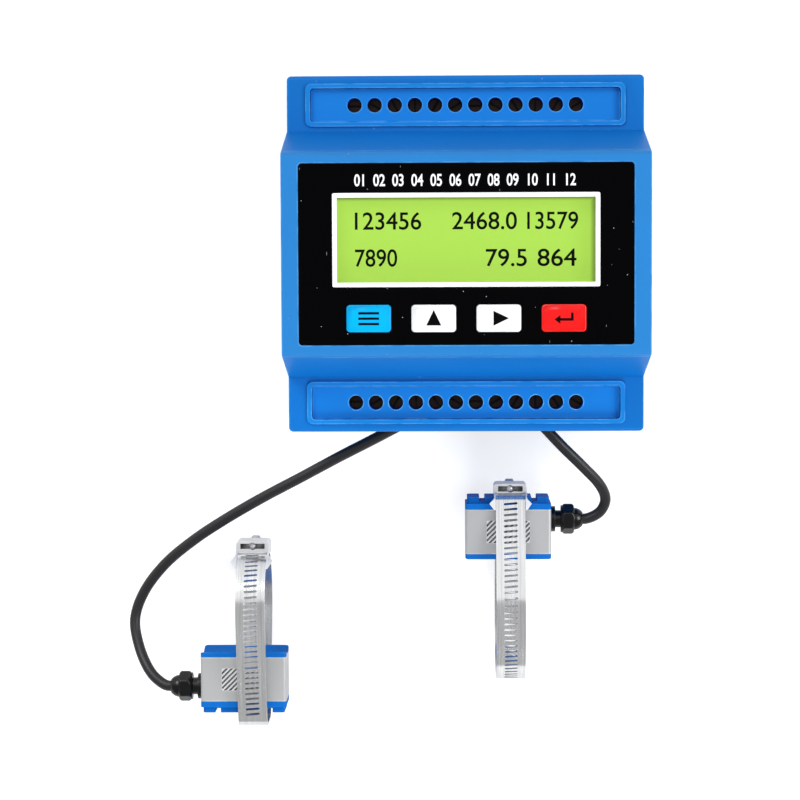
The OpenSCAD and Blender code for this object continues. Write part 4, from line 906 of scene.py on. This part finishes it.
# %% Worm screws
THREAD_STEP, WORM_COLUMNS = 0.09, 72
worm_stations = np.concatenate([
    [head_low - FOOT_POLE, head_low, -NECK_L - FOOT_POLE / 2, -NECK_L],
    [COLLAR_LOW - HAIR, COLLAR_LOW + HAIR, COLLAR_HIGH - HAIR, COLLAR_HIGH + HAIR],
    np.arange(0, WORM_END - 0.01, THREAD_STEP), [WORM_END, WORM_END + TIP_POLE],
])
along, across, up = about_axis(worm_stations, worm_radius, WORM_COLUMNS)
for side in ("right", "left"):
    body = side + "_worm_screw"
    low, high = (np.array(c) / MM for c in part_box(body))
    base = ((low[0] + high[0]) / 2, (low[1] + high[1]) / 2, low[2] + NECK_L + HEAD_L)
    points = np.stack([across, up, along], -1) + base
    worm = surface(side + "_worm_thread", points * MM, plated_steel, body)
    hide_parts(side + "_worm_screw")

# %% Shape of the gland nuts
NUT_FLATS, NUT_RIM, NUT_L, DOME_R, DOME_L, BORE_R = 7.1, 0.4, 3.0, 2.9, 2.3, 1.5
NUT_CORNER_SHARE, CHAMFER_L, CHAMFER_SLOPE = 0.97, 0.45, 0.9


def nut_radius(angle, s):
    """Rim: a circle. Nut: a hexagon with round, chamfered corners. Dome: a quarter circle."""
    corner = NUT_FLATS / 2 / math.cos(math.pi / 6)
    from_middle = np.abs(s - (NUT_RIM + NUT_L / 2))
    limit = corner * NUT_CORNER_SHARE - np.maximum(from_middle - NUT_L / 2 + CHAMFER_L, 0) * CHAMFER_SLOPE
    nut = np.minimum(hexagon_radius(angle, NUT_FLATS), limit)
    past = np.clip(s - NUT_RIM - NUT_L, 0, DOME_R)
    dome = np.sqrt(np.maximum(DOME_R**2 - past**2, 0))
    return np.where(s < NUT_RIM, NUT_FLATS / 2, np.where(s <= NUT_RIM + NUT_L, nut, dome))


# %% Gland nuts
NUT_ROWS, DOME_TURNS, NUT_COLUMNS = 24, 16, 96
nut_top = NUT_RIM + NUT_L
nut_stations = np.concatenate([
    [0, NUT_RIM - 0.001], np.linspace(NUT_RIM, nut_top, NUT_ROWS),
    nut_top + DOME_L * np.sin(np.linspace(0.01, np.pi / 2, DOME_TURNS)),
])
outer = about_axis(nut_stations, nut_radius, NUT_COLUMNS)
bore = about_axis([nut_top + DOME_L, 0.0], lambda angle, s: BORE_R, NUT_COLUMNS)
along, across, up = (np.vstack(parts) for parts in zip(outer, bore))
for side, sign in (("right", 1), ("left", -1)):
    low, high = (np.array(c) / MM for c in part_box(side + "_gland_nut"))
    base = np.array([low[0] if sign > 0 else high[0], (low[1] + high[1]) / 2, (low[2] + high[2]) / 2])
    points = np.stack([sign * along, across, up], -1) + base
    nut = surface(side + "_gland_dome_nut", points * MM, black_plastic,
                  ring=True, flip=sign > 0)
    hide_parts(side + "_gland_nut")
print("nuts and worms made")

# %% [markdown]
# ## Figures and symbols
# The face carries only plain numbers and signs: a row of terminal numbers over the display, figures on the
# display, and a sign on each key. Numbers are text objects, made a mesh before they are placed. A sign is a
# flat shape with a little thickness, a hair above the key's dome.


# %% Text as a thin mesh
INK_T, FIGURE_SHARE = 0.04, 0.72


def figures(name, text, height, width, left, base, z, material, weight):
    """Text of a height and a width in millimetres that starts at (left, base), at the level z. A bevel of
    `weight` times the height makes the strokes thicker, and is then pressed flat."""
    curve = bpy.data.curves.new(name, "FONT")
    curve.body = text
    curve.size = height / FIGURE_SHARE
    curve.extrude = INK_T / 2
    curve.bevel_depth = weight * height
    curve.bevel_resolution = 1
    draft = bpy.data.objects.new(name, curve)
    scene.collection.objects.link(draft)
    bpy.context.view_layer.update()
    mesh = bpy.data.meshes.new_from_object(draft.evaluated_get(bpy.context.evaluated_depsgraph_get()))
    bpy.data.objects.remove(draft)
    spot = np.zeros(len(mesh.vertices) * 3, np.float32)
    mesh.vertices.foreach_get("co", spot)
    spot = spot.reshape(-1, 3)
    spot[:, 0] = (spot[:, 0] - spot[:, 0].min()) * width / np.ptp(spot[:, 0])
    spot[:, 2] *= INK_T / np.ptp(spot[:, 2])
    spot = spot + (left, base, z)
    mesh.vertices.foreach_set("co", (spot * MM).astype(np.float32).ravel())
    mesh.update()
    return placed(name, mesh, material, "meter")


# %% Terminal numbers over the display
TITLE_LEFT, TITLE_W, TITLE_BASE, TITLE_H, TITLE_WEIGHT = -27.1, 53.7, 16.55, 2.9, 0.022
panel_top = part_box("front_overlay")[1].z / MM
numbers = "  ".join(f"{k:02d}" for k in range(1, HOLES_IN_ROW + 1))
figures("panel_numbers", numbers, TITLE_H, TITLE_W, TITLE_LEFT, TITLE_BASE, panel_top, white_ink,
        TITLE_WEIGHT)

# %% Figures on the display
UPPER_LINE, LOWER_LINE, FIGURE_H, FIGURE_WEIGHT = 6.05, -2.95, 4.3, 0.012
glass_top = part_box("lcd_glass")[1].z / MM
readings = (
    ("123456", -27.1, 16.2, UPPER_LINE), ("2468.0", -3.4, 15.8, UPPER_LINE),
    ("13579", 14.9, 12.4, UPPER_LINE), ("7890", -27.1, 10.3, LOWER_LINE),
    ("79.5", 4.8, 10.0, LOWER_LINE), ("864", 17.4, 9.5, LOWER_LINE),
)
for k, (text, left, width, base) in enumerate(readings):
    figures(f"display_figures_{k + 1}", text, FIGURE_H, width, left, base, glass_top, display_ink,
            FIGURE_WEIGHT)

# %% Flat signs on the keys
SIGN_LIFT = 0.07
key_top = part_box("up_key")[1].z / MM + SIGN_LIFT


def sign_on(key, name, outline):
    """Flat prism as thick as the ink over an outline of [x, y] points, in millimetres from a key's middle."""
    low, high = (np.array(c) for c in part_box(key))
    outline = (low + high)[:2] / 2 / MM + outline
    n = len(outline)
    low = np.column_stack([outline, np.full(n, key_top)])
    points = np.vstack([low, low + (0, 0, INK_T)]) * MM
    sides = [(k, (k + 1) % n, n + (k + 1) % n, n + k) for k in range(n)]
    mesh = bpy.data.meshes.new(name)
    mesh.from_pydata(points.tolist(), [], [tuple(range(n - 1, -1, -1)), tuple(range(n, 2 * n))] + sides)
    return placed(name, mesh, black_ink, key)


# %% Triangles, bars and a bent arrow
RIGHT_SIGN_SHIFT, BAR_PITCH = (0.4, 0), 1.3
triangle = np.array([(-1.8, -1.7), (1.8, -1.7), (0, 2.05)])
bar = np.array([(-2.5, -0.27), (2.5, -0.27), (2.5, 0.27), (-2.5, 0.27)])
arrow = np.array([
    (-2.3, -0.35), (-0.9, -1.4), (-0.9, -0.65), (2.3, -0.65), (2.3, 1.3), (1.7, 1.3), (1.7, -0.05),
    (-0.9, -0.05), (-0.9, 0.7),
])
sign_on("up_key", "up_sign", triangle)
sign_on("right_key", "right_sign", triangle[:, ::-1] * (1, -1) + RIGHT_SIGN_SHIFT)
for k in range(3):
    sign_on("menu_key", f"menu_sign_{k + 1}", bar + (0, (k - 1) * BAR_PITCH))
sign_on("enter_key", "enter_sign", arrow)
